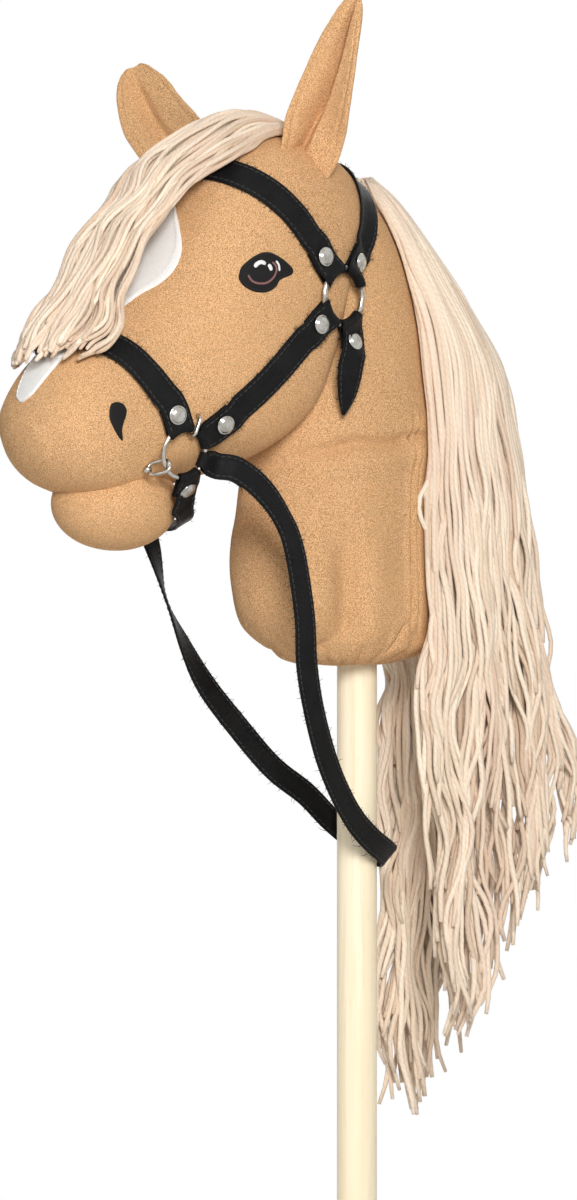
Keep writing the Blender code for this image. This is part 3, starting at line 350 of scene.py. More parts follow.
def wood_finish():
    """Pale turned wood: long faint grain, small pores and a dull sanded face."""
    f = Finish("pale_wood", Specular_IOR_Level=0.3)
    place = f.place()
    long_grain = f.grain(f.stretched(place, (1.0, 1.0, 0.035)), 260.0, 4.0, 0.6)
    bands = f.grain(f.stretched(place, (1.0, 1.0, 0.05)), 70.0)
    pores = f.grain(f.stretched(place, (1.0, 1.0, 0.08)), 900.0)
    colour = f.blend(f.span(bands, 0.38, 0.66), (0.94, 0.83, 0.62), (0.89, 0.755, 0.52))
    colour = f.blend(f.span(long_grain, 0.5, 0.72) * 0.4, colour, (0.78, 0.60, 0.37))
    f.set("Base Color", f.blend(f.span(pores, 0.64, 0.76) * 0.30, colour, (0.62, 0.45, 0.27)))
    f.set("Roughness", f.span(long_grain, 0.3, 0.7, 0.5, 0.66))
    f.bump(long_grain * 0.6 + pores * 0.4, 0.00025, 0.5)
    return f.material


TAN = plush_finish("tan_plush", (0.96, 0.595, 0.315), (0.38, 0.185, 0.068), (0.72, 0.405, 0.185), 0.12)
WHITE = plush_finish("white_plush", (0.98, 0.975, 0.955), (0.88, 0.86, 0.83), (0.96, 0.95, 0.93), 0.1)
YARN = yarn_finish()
STRAP = strap_finish()
# threads: colour in the painted shade between filaments, colour in their painted highlight, and step
BLACK_THREAD = thread_finish("black_thread", (0.004, 0.004, 0.004), (0.022, 0.020, 0.020), 0.0007)
SEWING = thread_finish("sewing_thread", (0.010, 0.010, 0.010), (0.10, 0.096, 0.092), 0.0007)
BROWN_THREAD = thread_finish("brown_thread", (0.10, 0.035, 0.032), (0.42, 0.22, 0.20), 0.0006)
WHITE_THREAD = thread_finish("white_thread", (0.72, 0.71, 0.70), (0.95, 0.95, 0.94), 0.0006)
NICKEL = nickel_finish()
WOOD = wood_finish()


# meshes
def piece(name, points, faces, finish, body, uv=None, tone_and_shade=None):
    """A smooth mesh piece that rides on a body, with its UVs, and each strand's colour share with its
    painted shade if it has them.
    """
    mesh = bpy.data.meshes.new(name)
    mesh.from_pydata(np.asarray(points, float).tolist(), [], faces)
    mesh.materials.append(finish)
    mesh.shade_smooth()
    layer = mesh.uv_layers.new(name="strand")
    if uv is not None:
        layer.data.foreach_set("uv", np.asarray(uv, np.float32).ravel())
    if tone_and_shade is not None:
        spread = mesh.attributes.new("tone_and_shade", "FLOAT", "POINT")
        spread.data.foreach_set("value", np.asarray(tone_and_shade, np.float32).ravel())
    obj = bpy.data.objects.new(name, mesh)
    bpy.context.scene.collection.objects.link(obj)
    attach(obj, body)
    return obj


def ring_faces(k, n):
    """Faces between k rings of n points each."""
    faces = []
    for i in range(k - 1):
        for j in range(n):
            a, b = i * n + j, i * n + (j + 1) % n
            faces.append((a, b, b + n, a + n))
    return faces


def outward(points, faces):
    """The faces, turned so that they face out of the closed form they make."""
    points = np.asarray(points)
    corners = np.array([(f[0], f[k], f[k + 1]) for f in faces for k in range(1, len(f) - 1)])
    total = (points[corners[:, 0]] * np.cross(points[corners[:, 1]], points[corners[:, 2]])).sum()
    return faces if total > 0 else [tuple(face)[::-1] for face in faces]


def closed_form(rings):
    """A closed mesh through rings of points, each end closed with a fan."""
    rings = np.asarray(rings, float)
    k, n = rings.shape[:2]
    points = np.vstack([rings.reshape(-1, 3), rings[0].mean(axis=0), rings[-1].mean(axis=0)])
    faces = ring_faces(k, n)
    last = (k - 1) * n
    for j in range(n):
        faces.append((k * n, (j + 1) % n, j))
        faces.append((k * n + 1, last + j, last + (j + 1) % n))
    return points, faces


def closed_sheet(top, low):
    """A closed form between the rows of an upper face and those of a lower one."""
    rings = np.concatenate([top, low[:, ::-1]], axis=1)
    k, n = rings.shape[:2]
    faces = ring_faces(k, n)
    last = (k - 1) * n
    for j in range(n // 2 - 1):
        strip = (j, j + 1, n - 2 - j, n - 1 - j)
        faces.append(strip[::-1])
        faces.append(tuple(last + v for v in strip))
    points = rings.reshape(-1, 3)
    return points, outward(points, faces)


def joined(parts):
    """Several meshes as one."""
    points, faces = [], []
    for part_points, part_faces in parts:
        start = len(points)
        points += np.asarray(part_points).tolist()
        faces += [tuple(start + v for v in face) for face in part_faces]
    return points, faces


def tubes(lines, radii, sides, tones_and_shade=None):
    """Round tubes along lines (S, M, 3) with radii (S, M): points, faces, UVs, and strand colour shares
    with painted shade.
    """
    lines, radii = np.asarray(lines, float), np.asarray(radii, float)
    s, m = lines.shape[:2]
    ahead = unit(np.gradient(lines, axis=1))
    # a direction well away from each line's own
    aside = np.where(np.abs(ahead[:, :1, 2]) > 0.7, X, Z)
    side = unit(np.cross(ahead[:, 0], aside))
    frames = []
    for k in range(m):
        side = unit(side - ahead[:, k] * (side * ahead[:, k]).sum(axis=1, keepdims=True))
        frames.append(side)
    side = np.stack(frames, axis=1)
    turn = circle(sides, side[:, :, None], np.cross(ahead, side)[:, :, None])
    points = (lines[:, :, None] + turn * radii[:, :, None, None]).reshape(-1, 3)
    step = np.linalg.norm(np.diff(lines, axis=1), axis=2)
    run = np.concatenate([np.zeros((s, 1)), np.cumsum(step, axis=1)], axis=1)
    i, j = np.meshgrid(np.arange(m - 1), np.arange(sides), indexing="ij")
    i, j = i.ravel(), j.ravel()
    a, b = i * sides + j, i * sides + (j + 1) % sides
    quads = np.stack([a, b, b + sides, a + sides], axis=1)
    faces, uv = [], []
    for k in range(s):
        start = k * m * sides
        faces += [tuple(q) for q in (quads + start).tolist()]
        faces.append(tuple(start + v for v in range(sides - 1, -1, -1)))
        faces.append(tuple(start + (m - 1) * sides + v for v in range(sides)))
        low, high = run[k, i], run[k, i + 1]
        u, v = j / sides, (j + 1) / sides
        uv.append(np.stack([u, low, v, low, v, high, u, high], axis=1).ravel())
        uv.append(np.array([0, run[k, 0]] * sides + [0, run[k, -1]] * sides))
    tone_and_shade = None if tones_and_shade is None else np.repeat(np.asarray(tones_and_shade, float), m * sides)
    return points, faces, np.concatenate(uv), tone_and_shade


def normals_of(points, faces):
    """Normals at the points of a closed form."""
    mesh = bpy.data.meshes.new("measured")
    mesh.from_pydata(points.tolist(), [], faces)
    found = np.zeros(len(points) * 3, np.float32)
    mesh.vertex_normals.foreach_get("vector", found)
    bpy.data.meshes.remove(mesh)
    return found.reshape(-1, 3).astype(float)


# plush forms
# head: top and bottom of each section (Y, Z), half width, share that the top is narrower, and how
# boxy the section is
HEAD = (
    (-0.014, 0.832, -0.036, 0.770, 0.032, 0.00, 2.25),
    (-0.025, 0.850, -0.050, 0.735, 0.047, 0.02, 2.35),
    (-0.052, 0.862, -0.062, 0.692, 0.056, 0.02, 2.75),
    (-0.092, 0.866, -0.088, 0.672, 0.060, 0.03, 2.95),
    (-0.130, 0.845, -0.118, 0.660, 0.060, 0.08, 2.60),
    (-0.160, 0.800, -0.147, 0.652, 0.055, 0.10, 2.30),
    (-0.187, 0.768, -0.170, 0.648, 0.049, 0.08, 2.25),
    (-0.214, 0.748, -0.187, 0.645, 0.047, 0.05, 2.25),
    (-0.239, 0.727, -0.208, 0.643, 0.047, 0.03, 2.25),
    (-0.254, 0.706, -0.231, 0.648, 0.040, 0.00, 2.25),
    (-0.261, 0.688, -0.250, 0.661, 0.020, 0.00, 2.25),
)
# neck: Z of each section, Y of its middle, and half its size in X and Y
NECK = (
    (NECK_BOTTOM, -0.004, 0.017, 0.017),
    (NECK_BOTTOM + 0.003, -0.010, 0.030, 0.036),
    (NECK_BOTTOM + 0.010, -0.007, 0.040, 0.052),
    (NECK_BOTTOM + 0.020, -0.013, 0.0455, 0.059),
    (NECK_BOTTOM + 0.036, -0.018, 0.049, 0.064),
    (0.605, -0.021, 0.050, 0.066),
    (0.650, -0.018, 0.050, 0.063),
    (0.700, -0.019, 0.050, 0.060),
    (0.750, -0.021, 0.049, 0.055),
    (0.790, -0.025, 0.046, 0.046),
    (0.820, -0.031, 0.039, 0.036),
    (0.838, -0.037, 0.028, 0.026),
    (0.846, -0.040, 0.014, 0.013),
)
NECK_BOXY = 2.15
JAW_AT, JAW_HALF = (0, -0.1875, 0.640), (0.036, 0.0403, 0.0295)


def even_rows(table, count, share=0.35):
    """Finely sampled rows of a table, closer together towards both ends."""
    dense = spline(table, 1200)
    t = np.linspace(0, 1, count)
    t = t * (1 - share) + share * (0.5 - 0.5 * np.cos(math.pi * t))
    return dense[np.round(t * 1199).astype(int)]


def round_section(n, power):
    """Unit outline between a circle and a rounded box."""
    return boxed(np.cos(angles(n)), power), boxed(np.sin(angles(n)), power)


def head_rings():
    rings = []
    for top_y, top_z, low_y, low_z, half, slim, power in even_rows(HEAD, 140):
        c, s = round_section(150, power)
        top, low = np.array([0, top_y, top_z]), np.array([0, low_y, low_z])
        x = half * s * (1 - slim * c)
        rings.append((top + low) / 2 + c[:, None] * (top - low) / 2 + x[:, None] * X)
    return rings


def neck_rings():
    c, s = round_section(340, NECK_BOXY)
    return [
        np.stack([half_x * s, y - half_y * c, np.full(len(c), z)], axis=1)
        for z, y, half_x, half_y in even_rows(NECK, 250)
    ]


def jaw_rings():
    """An egg shape, in level rings."""
    tilts = np.linspace(0, math.pi, 40)[1:-1]
    balls = [math.sin(a) * circle(60, X, Y) + math.cos(a) * Z for a in tilts]
    return [np.array(JAW_AT) + ball * np.array(JAW_HALF) for ball in balls]


def head_lumps(points):
    """Soft lumps, with none round the rings, where the straps hold the plush down."""
    _, y, z = points.T
    by_rings = [bell(np.hypot(y + 0.058, z - 0.766), 0.032), bell(np.hypot(y + 0.172, z - 0.671), 0.03)]
    calm = 1 - np.maximum(*by_rings)
    return (0.0007 * lumps(points, 0.050, 3.0) + 0.00022 * lumps(points, 0.012, 9.0)) * calm


def jaw_lumps(points):
    return 0.0007 * lumps(points, 0.035, 5.0)


def cheek_fold(x, y, z):
    """A fold that runs level round the side of the neck, between two soft rolls."""
    over = z - (0.6795 + 0.10 * (y - 0.005) + 0.0012 * np.sin(y * 130))
    side = ease((np.abs(x) - 0.015) / 0.02) * ease((0.030 - y) / 0.02) * ease((y + 0.080) / 0.03)
    rolls = 0.0030 * bell(over + 0.011, 0.008) + 0.0012 * bell(over - 0.009, 0.006)
    return side * (rolls - 0.0054 * bell(over, 0.0030))


def back_seams(x, y, z):
    """Two sewn lines down the back of the neck's side, each with a raised edge before it."""
    side = ease((z - 0.555) / 0.02) * ease((0.70 - z) / 0.02) * ease((np.abs(x) - 0.02) / 0.01)
    lines = 0.0044 * bell(y - 0.0085, 0.0016) + 0.0036 * bell(y - 0.0160, 0.0018)
    edges = 0.0016 * bell(y - 0.0048, 0.0026) + 0.0014 * bell(y - 0.0124, 0.0016)
    return side * (edges - lines)


def side_hollow(x, y, z):
    """A long hollow down the side of the neck, between two soft rolls."""
    side = ease((0.640 - z) / 0.05) * ease((z - 0.545) / 0.02) * ease(np.abs(x) / 0.03)
    hollow = 0.0084 * bell(y + 0.043 + (z - 0.59) * 0.10, 0.010)
    return side * (0.0026 * (bell(y + 0.064, 0.012) + bell(y + 0.022, 0.012)) - hollow)


def gathered_end(x, y, z):
    """The neck's lower end, drawn in round the stick: pleats, a longer tuck and a short crease."""
    up = z - NECK_BOTTOM
    angle = np.arctan2(x, y + 0.012)
    pleats = np.abs(np.sin(angle * 9 + 1.3 * np.sin(angle * 2 + 1.0)))
    drawn_in = ease((0.034 - up) / 0.030) * (0.0019 * pleats**0.6 - 0.0015)
    tuck = 0.0015 * bell(y + 0.060 - up * 0.8, 0.004) * ease((0.03 - up) / 0.02) * (np.abs(x) > 0.008)
    short = ease((up - 0.006) / 0.006) * ease((0.032 - up) / 0.012) * (np.abs(x) > 0.015)
    crease = 0.0036 * bell(y - (up - 0.019) * 0.45, 0.0017) - 0.0012 * bell(y - 0.006, 0.004)
    return drawn_in - tuck - short * crease


def neck_folds(points):
    x, y, z = points.T
    below_head = ease((0.74 - z) / 0.06)
    big = 0.0022 * lumps(points * np.array([1, 1, 0.55]), 0.040, 7.0) - 0.0004
    soft = (big + 0.0004 * lumps(points, 0.013, 2.0)) * below_head
    return soft + cheek_fold(x, y, z) + back_seams(x, y, z) + side_hollow(x, y, z) + gathered_end(x, y, z)


def stuffed(rings, shape):
    """A closed form through rings, its points moved in or out as stuffed cloth is."""
    points, faces = closed_form(rings)
    faces = outward(points, faces)
    return points + normals_of(points, faces) * shape(points)[:, None], faces


forms = {
    "head": stuffed(head_rings(), head_lumps),
    "neck": stuffed(neck_rings(), neck_folds),
    "lower_jaw": stuffed(jaw_rings(), jaw_lumps),
}
skin = BVHTree.FromPolygons(*joined(forms.values()))
# the middle line of the head, and how far out a ray starts
CORE = (np.array([0, -0.045, 0.775]), np.array([0, -0.205, 0.690]))
FAR, CLOSE = 0.08, 0.03


def hit(point, direction, reach=FAR):
    """Where a ray from outside first meets the plush, and the normal there."""
    origin = Vector(point) + Vector(direction) * reach
    where, normal, _, _ = skin.ray_cast(origin, -Vector(direction))
    if where is None:
        where, normal, _, _ = skin.find_nearest(Vector(point))
    return np.array(where), np.array(normal)


def outwards(point):
    """Direction from the middle line of the head through a point near its surface."""
    a, b = CORE
    t = np.clip(np.dot(point - a, b - a) / np.dot(b - a, b - a), 0, 1)
    return unit(point - (a + t * (b - a)))


# straps
class Ring:
    """A metal ring a distance over the plush, and the ways straps leave it."""

    def __init__(self, node, radius, wire, over):
        points = np.array([node.matrix_world @ v.co for v in node.data.vertices])
        points = np.unique(np.round(points, 6), axis=0)
        self.centre = points.mean(axis=0)
        axis = np.linalg.svd(points - self.centre)[2][2]
        self.normal = axis * np.sign(axis[0])
        self.radius, self.wire = radius, wire
        self.under = self.centre - self.normal * over
        self.back = unit(Y - self.normal * self.normal[1])
        self.up = np.cross(self.normal, self.back)

    def way(self, degrees):
        """Direction away from the ring's middle, from the back round towards the top."""
        a = math.radians(degrees)
        return math.cos(a) * self.back + math.sin(a) * self.up

    def flipped(self):
        """The same ring on the right side."""
        other = object.__new__(Ring)
        other.radius, other.wire = self.radius, self.wire
        for key in ("under", "normal", "centre", "back", "up"):
            setattr(other, key, mirrored(getattr(self, key)))
        return other

    def across(self, way, like):
        """Direction along the wire where a strap leaves it, on the side of another direction."""
        along = unit(np.cross(self.normal, way))
        return -along if np.dot(along, like) < 0 else along


top_ring = Ring(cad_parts["left_upper_ring"], *TOP_RING)
bit_ring = Ring(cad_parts["left_bit_ring"], *BIT_RING)
# across a strap: rounded edges, a sunk stitch line beside each and a slightly padded middle
COLUMNS = np.array([-0.5, -0.492, -0.462, -0.41, -0.375, -0.34, -0.22, 0, 0.22, 0.34, 0.375, 0.41,
                    0.462, 0.492, 0.5])
PADDING = np.array([0.25, 0.62, 0.92, 1.0, 0.74, 1.02, 1.1, 1.12, 1.1, 1.02, 0.74, 1.0, 0.92, 0.62, 0.25])
SEAMS, MIDDLE = (4, 10), 7
# a pointed end: distances from the end, and shares of the strap's width there
POINTED = ([0, 0.004, 0.013, 0.024, 0.034], [0.08, 0.34, 0.72, 0.95, 1])
# no stitches this near to a ring's wire, in the fold, and no hairs this near to a bit ring's centre
FOLD_ROOM, BIT_ROOM = 0.0030, 0.036
BEND_TOP = 0.435


def fold_rows(ring, way, across, columns, start_deg=50, end_deg=270, slack=0.0):
    """Rows of a strap's fold round a ring's wire, from above the wire to under it."""
    r = ring.wire / 2 + GAP + slack + STRAP_T / 2
    turns = (columns / ring.radius)[:, None]
    ways = np.cos(turns) * way + np.sin(turns) * across
    rows = []
    for a in np.radians(np.linspace(start_deg, end_deg, 16)):
        rows.append(ring.centre + (ring.radius + r * math.cos(a)) * ways + r * math.sin(a) * ring.normal)
    return rows


def fold_at(ring, row, pinch):
    """The fold at a ring, lined up with the strap row nearest to it."""
    row = np.asarray(row)
    middle = row.mean(axis=0) - ring.centre
    way = unit(middle - ring.normal * np.dot(middle, ring.normal))
    return fold_rows(ring, way, ring.across(way, row[-1] - row[0]), COLUMNS * STRAP_W * pinch)


def places_on(path, normals, lengths):
    """Points at distances along a strap's path, and the directions across it and out of it."""
    both = at_lengths(np.hstack([path, normals]), lengths)
    ahead = unit(at_lengths(path, lengths + 0.002) - at_lengths(path, lengths - 0.002))
    across = unit(np.cross(ahead, unit(both[:, 3:])))
    return both[:, :3], across, np.cross(across, ahead)


def on_plush(path, normals, lengths, heights, widths, extra):
    """Rows that follow the plush at a height, or straight across with no extra height given."""
    heights, widths = np.broadcast_to(heights, len(lengths)), np.broadcast_to(widths, len(lengths))
    rows = []
    for p, b, n, height, width in zip(*places_on(path, normals, lengths), heights, widths):
        row = []
        for s in COLUMNS * width:
            off = 0.0
            if extra is not None:
                off = max(np.dot(hit(p + b * s, n, CLOSE)[0] - p, n), -SAG) + extra
            row.append(p + b * s + n * (off + height + STRAP_T / 2))
        rows.append(row)
    return rows


def surface_path(points):
    """A path pulled taut over the plush through points near it, with smoothed normals."""
    rough = spline(points, 120)
    out = np.array([outwards(p) for p in rough])
    laid = np.array([hit(p, d)[0] for p, d in zip(rough, out)])
    step = length(laid) / len(laid)
    for _ in range(passes(TAUT, step)):
        laid = smooth(laid, 1)
        for i, (p, d) in enumerate(zip(laid, out)):
            lift = np.dot(hit(p, d)[0] - p, d)
            if lift > 0:
                laid[i] = p + d * lift
    laid = smooth(laid, 2)
    normals = np.array([hit(p, d)[1] for p, d in zip(laid, out)])
    return laid, unit(smooth(normals, passes(EVEN, step)))


def lift_off(point, across, normal):
    """How far a strap's middle has to rise here for its whole width to clear the plush."""
    lift = 0.0
    for s in np.linspace(-0.5, 0.5, 5) * STRAP_W:
        start = Vector(point + across * s + normal * CLOSE)
        where, _, _, _ = skin.ray_cast(start, -Vector(normal), 2 * CLOSE)
        if where is not None:
            lift = max(lift, float(np.dot(np.array(where) - point, normal)))
    return lift


def hanging_path(ring, degrees, points, dip, facing=None):
    """A path that leaves its ring freely and is only held off the plush where it would meet it."""
    low = ring.centre - ring.normal * (UNDER + STRAP_T + GAP / 2)
    loop = ring.radius + TO_LOOP
    starts = [
        low + ring.way(degrees) * d - ring.normal * dip * max(d - ring.radius, 0)
        for d in (0, loop / 2, ring.radius, loop + 0.005)
    ]
    path = spline([*starts, *points], 120)
    run = distances(path)
    turn = np.clip((run - loop) / TURNING, 0, 1)[:, None]
    aims = np.array([outwards(p) if facing is None else facing for p in path])
    normals = unit(ring.normal * (1 - turn) + unit(aims) * turn)
    for _ in range(3):
        across = unit(np.cross(unit(np.gradient(path, axis=0)), normals))
        lifts = [
            lift_off(*place) if far > ring.radius else 0.0
            for far, *place in zip(run, path, across, normals)
        ]
        wide = [max(lifts[max(i - 3, 0):i + 4]) for i in range(len(lifts))]
        path = path + normals * smooth(wide, 8)[:, None]
    return path, normals


def lap_rows(ring, more):
    """Distances from a ring of a strap end's folded layer, and distances and heights of the upper."""
    loop, end = ring.radius + TO_LOOP + 0.0005, ring.radius + TO_RIVET + more + TO_END
    upper = np.linspace(loop, end + 0.0085, 15)
    down = ease((upper - end - 0.0005) / 0.0075)
    return np.linspace(end, loop, 10), upper, (UNDER + STRAP_T + GAP) * (1 - down) + REST * down


def strap_rows(line, rings, extra, more, pinches, slim):
    """All rows of a strap from one ring to the next, or from its only ring to a pointed end."""

    def laid(lengths, heights, widths=STRAP_W):
        return on_plush(*line, lengths, heights, widths, extra)

    total = length(line[0])
    lap, upper, heights = lap_rows(rings[0], more[0])
    under = laid(lap, UNDER)
    rows = under + fold_at(rings[0], under[-1], pinches[0])[::-1] + laid(upper, heights)
    first, last = upper[-1], total
    if len(rings) == 2:
        lap, upper, heights = lap_rows(rings[1], more[1])
        last = total - upper[-1]
    middle = np.linspace(first, last, max(2, int(round((last - first) / ROW_STEP)) + 1))[1:]
    if len(rings) == 1:
        return rows + laid(middle, REST, STRAP_W * np.interp(total - middle, *POINTED))
    middle = middle[:-1]
    beside = np.minimum(middle - first, last - middle)
    rows += laid(middle, REST, STRAP_W * (1 - slim * ease((beside + 0.006) / 0.014)))
    rows += laid(total - upper[::-1], heights[::-1])
    under = laid(total - lap[::-1], UNDER)
    return rows + fold_at(rings[1], under[0], pinches[1]) + under


def beside_ring(point):
    """Whether a point is in a strap's fold, between the strap and the wire of a ring."""
    near = on_left(point)
    return any(
        np.linalg.norm(near - ring.centre) < ring.radius + FOLD_ROOM for ring in (top_ring, bit_ring)
    )


def stitching(name, lines, lifts, body, finish):
    """Separate stitches of thread that lie along lines of points."""
    runs = []
    for line, lift in zip(lines, lifts):
        both = np.hstack([line, lift])
        for start in np.arange(0.0015, length(line) - STITCH - 0.001, STITCH_STEP):
            row = at_lengths(both, start + STITCH * STITCH_PLACES)
            if beside_ring(row[3, :3]):
                continue
            rise = STITCH_RISE + rng.normal(0, 0.00008)
            runs.append(row[:, :3] + unit(row[:, 3:]) * rise[:, None])
    points, faces, uv, _ = tubes(runs, [STITCH_D / 2 * STITCH_ROUND] * len(runs), 6)
    piece(name, points, faces, finish, body, uv)


def fibres(name, edges, body, count):
    """Loose hairs of a strap's cut edges, longer round the rein's bend."""
    runs = []
    for _ in range(count):
        edge, out = edges[rng.integers(len(edges))]
        at = rng.integers(2, len(edge) - 2)
        if np.linalg.norm(on_left(edge[at]) - bit_ring.centre) < BIT_ROOM:
            continue
        on_bend = body == "reins" and edge[at, 2] < BEND_TOP
        aim = unit(unit(out[at]) + rng.normal(0, 0.55, 3))
        curl = unit(np.cross(aim, rng.normal(0, 1, 3)))
        reach = rng.uniform(*(BEND_HAIR if on_bend else HAIR))
        t = np.linspace(-0.12, 1, 6)[:, None]
        runs.append(edge[at] + aim * reach * t + curl * reach * 0.35 * t**2)
    points, faces, uv, _ = tubes(runs, [np.linspace(*HAIR_D, 6) / 2] * len(runs), 4)
    piece(name, points, faces, BLACK_THREAD, body, uv)


def strap_piece(name, rows, body, both_sides=False, hairs=None):
    """The strap itself, its two lines of stitches and the loose hairs of its edges."""
    rows = np.asarray(rows, float)
    up = unit(np.cross(np.gradient(rows, axis=0), np.gradient(rows, axis=1)))
    thick = up * (STRAP_T / 2 * PADDING)[:, None]
    top, low = rows + thick, rows - thick
    points, faces = closed_sheet(top, low)
    obj = piece(name + "_strap", points, faces, STRAP, body)
    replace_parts(obj, name)
    half_way = len(rows) // 2
    sides = [(top, up), (low, -up)]
    if np.dot(up[half_way, MIDDLE], outwards(rows[half_way, MIDDLE])) <= 0:
        sides.reverse()
    lines, lifts = [], []
    for face, lift in sides if both_sides else sides[:1]:
        lines += [face[:, column] for column in SEAMS]
        lifts += [lift[:, column] for column in SEAMS]
    stitching(name + "_stitches", lines, lifts, body, SEWING)
    edges = [(rows[:, 0], rows[:, 0] - rows[:, 3]), (rows[:, -1], rows[:, -1] - rows[:, -4])]
    fibres(name + "_fibres", edges, body, hairs or int(length(rows[:, MIDDLE]) / HAIR_STEP))
    return points, faces


def rivet_place(path, normals, distance, extra):
    """Point on the plush under a rivet and the strap's own normal there."""
    (point,), _, (normal,) = places_on(path, normals, np.array([distance]))
    if extra is None:
        return point, normal
    return hit(point, normal, CLOSE)[0] + normal * extra, normal


def turned(profile, centre, side, normal, count):
    """A closed form turned from a profile of (distance out, height) about the normal at a centre."""
    way = circle(count, side, np.cross(normal, side))
    points, faces = closed_form([centre + way * r + normal * h for r, h in profile])
    return points, outward(points, faces)


def rivet(name, point, normal):
    """Domed cap with a rolled rim, shank and back cap."""
    low, seat = GAP + 0.0001, UNDER + 2 * STRAP_T + 2 * GAP
    r, shank, rim = RIVET_D / 2, 0.0015, 0.0009
    profile = [
        (0.0008, low), (0.0037, low), (0.0039, low + 0.0006), (shank, low + 0.0006),
        (shank, seat + 0.0001), (r - 0.0010, seat - 0.0003), (r - 0.0003, seat - 0.0001),
        (r, seat + 0.0004), (r - 0.0002, seat + rim), (r - 0.0007, seat + 0.0010),
        (r - 0.0010, seat + rim),
    ]
    for share in np.linspace(0.80, 0.06, 9):
        dome = math.sqrt(1 - (share / 0.84) ** 2)
        profile.append((r * share, seat + rim + (RIVET_RISE - rim) * dome))
    points, faces = turned(profile, point, unit(np.cross(normal, (0.3, 0.2, 0.9))), normal, 36)
    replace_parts(piece(name + "_cap", points, faces, NICKEL, "horse"), name)


pressing = []


def bridle_strap(name, line, rings, rivets, extra=0.0, more=(0.0, 0.0), pinches=(1.0, 1.0), slim=0.0):
    """One riveted strap and its rivets, named from the start of its line of path and normals."""
    rows = strap_rows(line, rings, extra, more, pinches, slim)
    pressing.append(strap_piece(name, rows, "horse"))
    for i, (ring, rivet_name) in enumerate(zip(rings, rivets)):
        distance = ring.radius + TO_RIVET + more[i]
        if i == 1:
            distance = length(line[0]) - distance
        rivet(rivet_name, *rivet_place(*line, distance, extra))


def band(name, ring, degrees, points, extra=BAND_LIFT, more=0.0, pinch=1.0, slim=0.0):
    """A strap from a left ring over or under the head to the right one."""
    if extra is None:
        path, normals = hanging_path(ring, degrees, points, 0.75)
    else:
        starts = [ring.under + ring.way(degrees) * d for d in (0.0, 0.014, 0.028)]
        path, normals = surface_path([*starts, *points])
    path[-1, 0], normals[-1, 0] = 0, 0
    path, normals = [np.vstack([v, mirrored(v[-2::-1])]) for v in (path, normals)]
    rivets = [side + name.replace("_strap", "") + "_rivet" for side in ("left_", "right_")]
    line, rings = (path, unit(normals)), (ring, ring.flipped())
    bridle_strap(name, line, rings, rivets, extra, (more, more), (pinch, pinch), slim)


band(
    "browband", top_ring, 125.0,
    ((0.057, -0.090, 0.812), (0.040, -0.118, 0.836), (0.019, -0.130, 0.846), (0.0, -0.133, 0.848)),
    more=BROW_MORE,
)
band(
    "crownpiece", top_ring, 54.0,
    ((0.046, -0.026, 0.812), (0.030, -0.019, 0.838), (0.012, -0.017, 0.850), (0.0, -0.017, 0.852)),
)
band(
    "noseband", bit_ring, 109.5,
    ((0.045, -0.192, 0.712), (0.034, -0.208, 0.730), (0.017, -0.226, 0.740), (0.0, -0.232, 0.742)),
    extra=PATCH_T + GAP, more=NOSE_MORE,
)
band(
    "chin_strap", bit_ring, -71.0,
    (
        (0.0353, -0.1630, 0.6405), (0.0273, -0.1590, 0.6375), (0.015, -0.1540, 0.6375),
        (0.0, -0.1520, 0.6385),
    ),
    extra=None, pinch=CHIN_TIGHT, slim=0.30,
)
to_bit = bit_ring.under - top_ring.under
cheek_line = surface_path([top_ring.under + to_bit * t for t in np.linspace(0, 1, 7)])
throat_line = hanging_path(
    top_ring, -68.0,
    ((0.0585, -0.0515, 0.7260), (0.0540, -0.0505, 0.7080), (0.0510, -0.0515, 0.6940)),
    0.10, (0.98, -0.10, 0.0),
)


def side_straps(side, top, low, cheek, throat):
    """A side's cheekpiece between its two rings and the throat strap of its upper ring."""
    rivets = [side + "_cheek_top_rivet", side + "_cheek_bottom_rivet"]
    more, pinches = (0.0, CHEEK_MORE), (1.0, TIGHT)
    bridle_strap(side + "_cheekpiece", cheek, (top, low), rivets, more=more, pinches=pinches)
    rivets = [side + "_throat_rivet"]
    bridle_strap(side + "_throat_strap", throat, (top,), rivets, extra=None, more=(THROAT_MORE,))


side_straps("left", top_ring, bit_ring, cheek_line, throat_line)
side_straps(
    "right", top_ring.flipped(), bit_ring.flipped(),
    [mirrored(v) for v in cheek_line], [mirrored(v) for v in throat_line],
)

# rein: places of its middle line, and how far it is turned about that line, in degrees
LEFT_REIN = (
    (0.0555, -0.136, 0.6600, 0), (0.0590, -0.121, 0.6490, 0), (0.0610, -0.108, 0.6330, 10),
    (0.0620, -0.098, 0.6120, 4), (0.0620, -0.090, 0.5720, 2), (0.0580, -0.085, 0.5410, -2),
    (0.0520, -0.075, 0.5130, 0), (0.0440, -0.060, 0.4850, -2), (0.0360, -0.043, 0.4620, 0),
    (0.0290, -0.025, 0.4430, 0), (0.0230, -0.007, 0.4300, 0), (0.0165, 0.009, 0.4220, 0),
    (0.0090, 0.0175, 0.4185, 0),
)
RIGHT_REIN = (
    (-0.0540, -0.144, 0.6560, 0), (-0.0530, -0.1315, 0.6400, 0), (-0.0490, -0.1215, 0.6120, 20),
    (-0.0460, -0.113, 0.5790, 55), (-0.0470, -0.098, 0.5510, 30), (-0.0470, -0.082, 0.5260, 8),
    (-0.0440, -0.060, 0.5000, 0), (-0.0380, -0.037, 0.4740, 0), (-0.0310, -0.016, 0.4570, 0),
    (-0.0240, -0.002, 0.4410, 0), (-0.0165, 0.010, 0.4290, 0), (-0.0090, 0.0175, 0.4205, 0),
)
BEND = (0.0, STICK_D / 2 + GAP + 0.0072, 0.4180, 0)
REIN_DEG, REIN_SLACK, LAP_STEPS = -17.5, 0.0004, 16
BEND_FALL = (0, 0.69, -0.72)


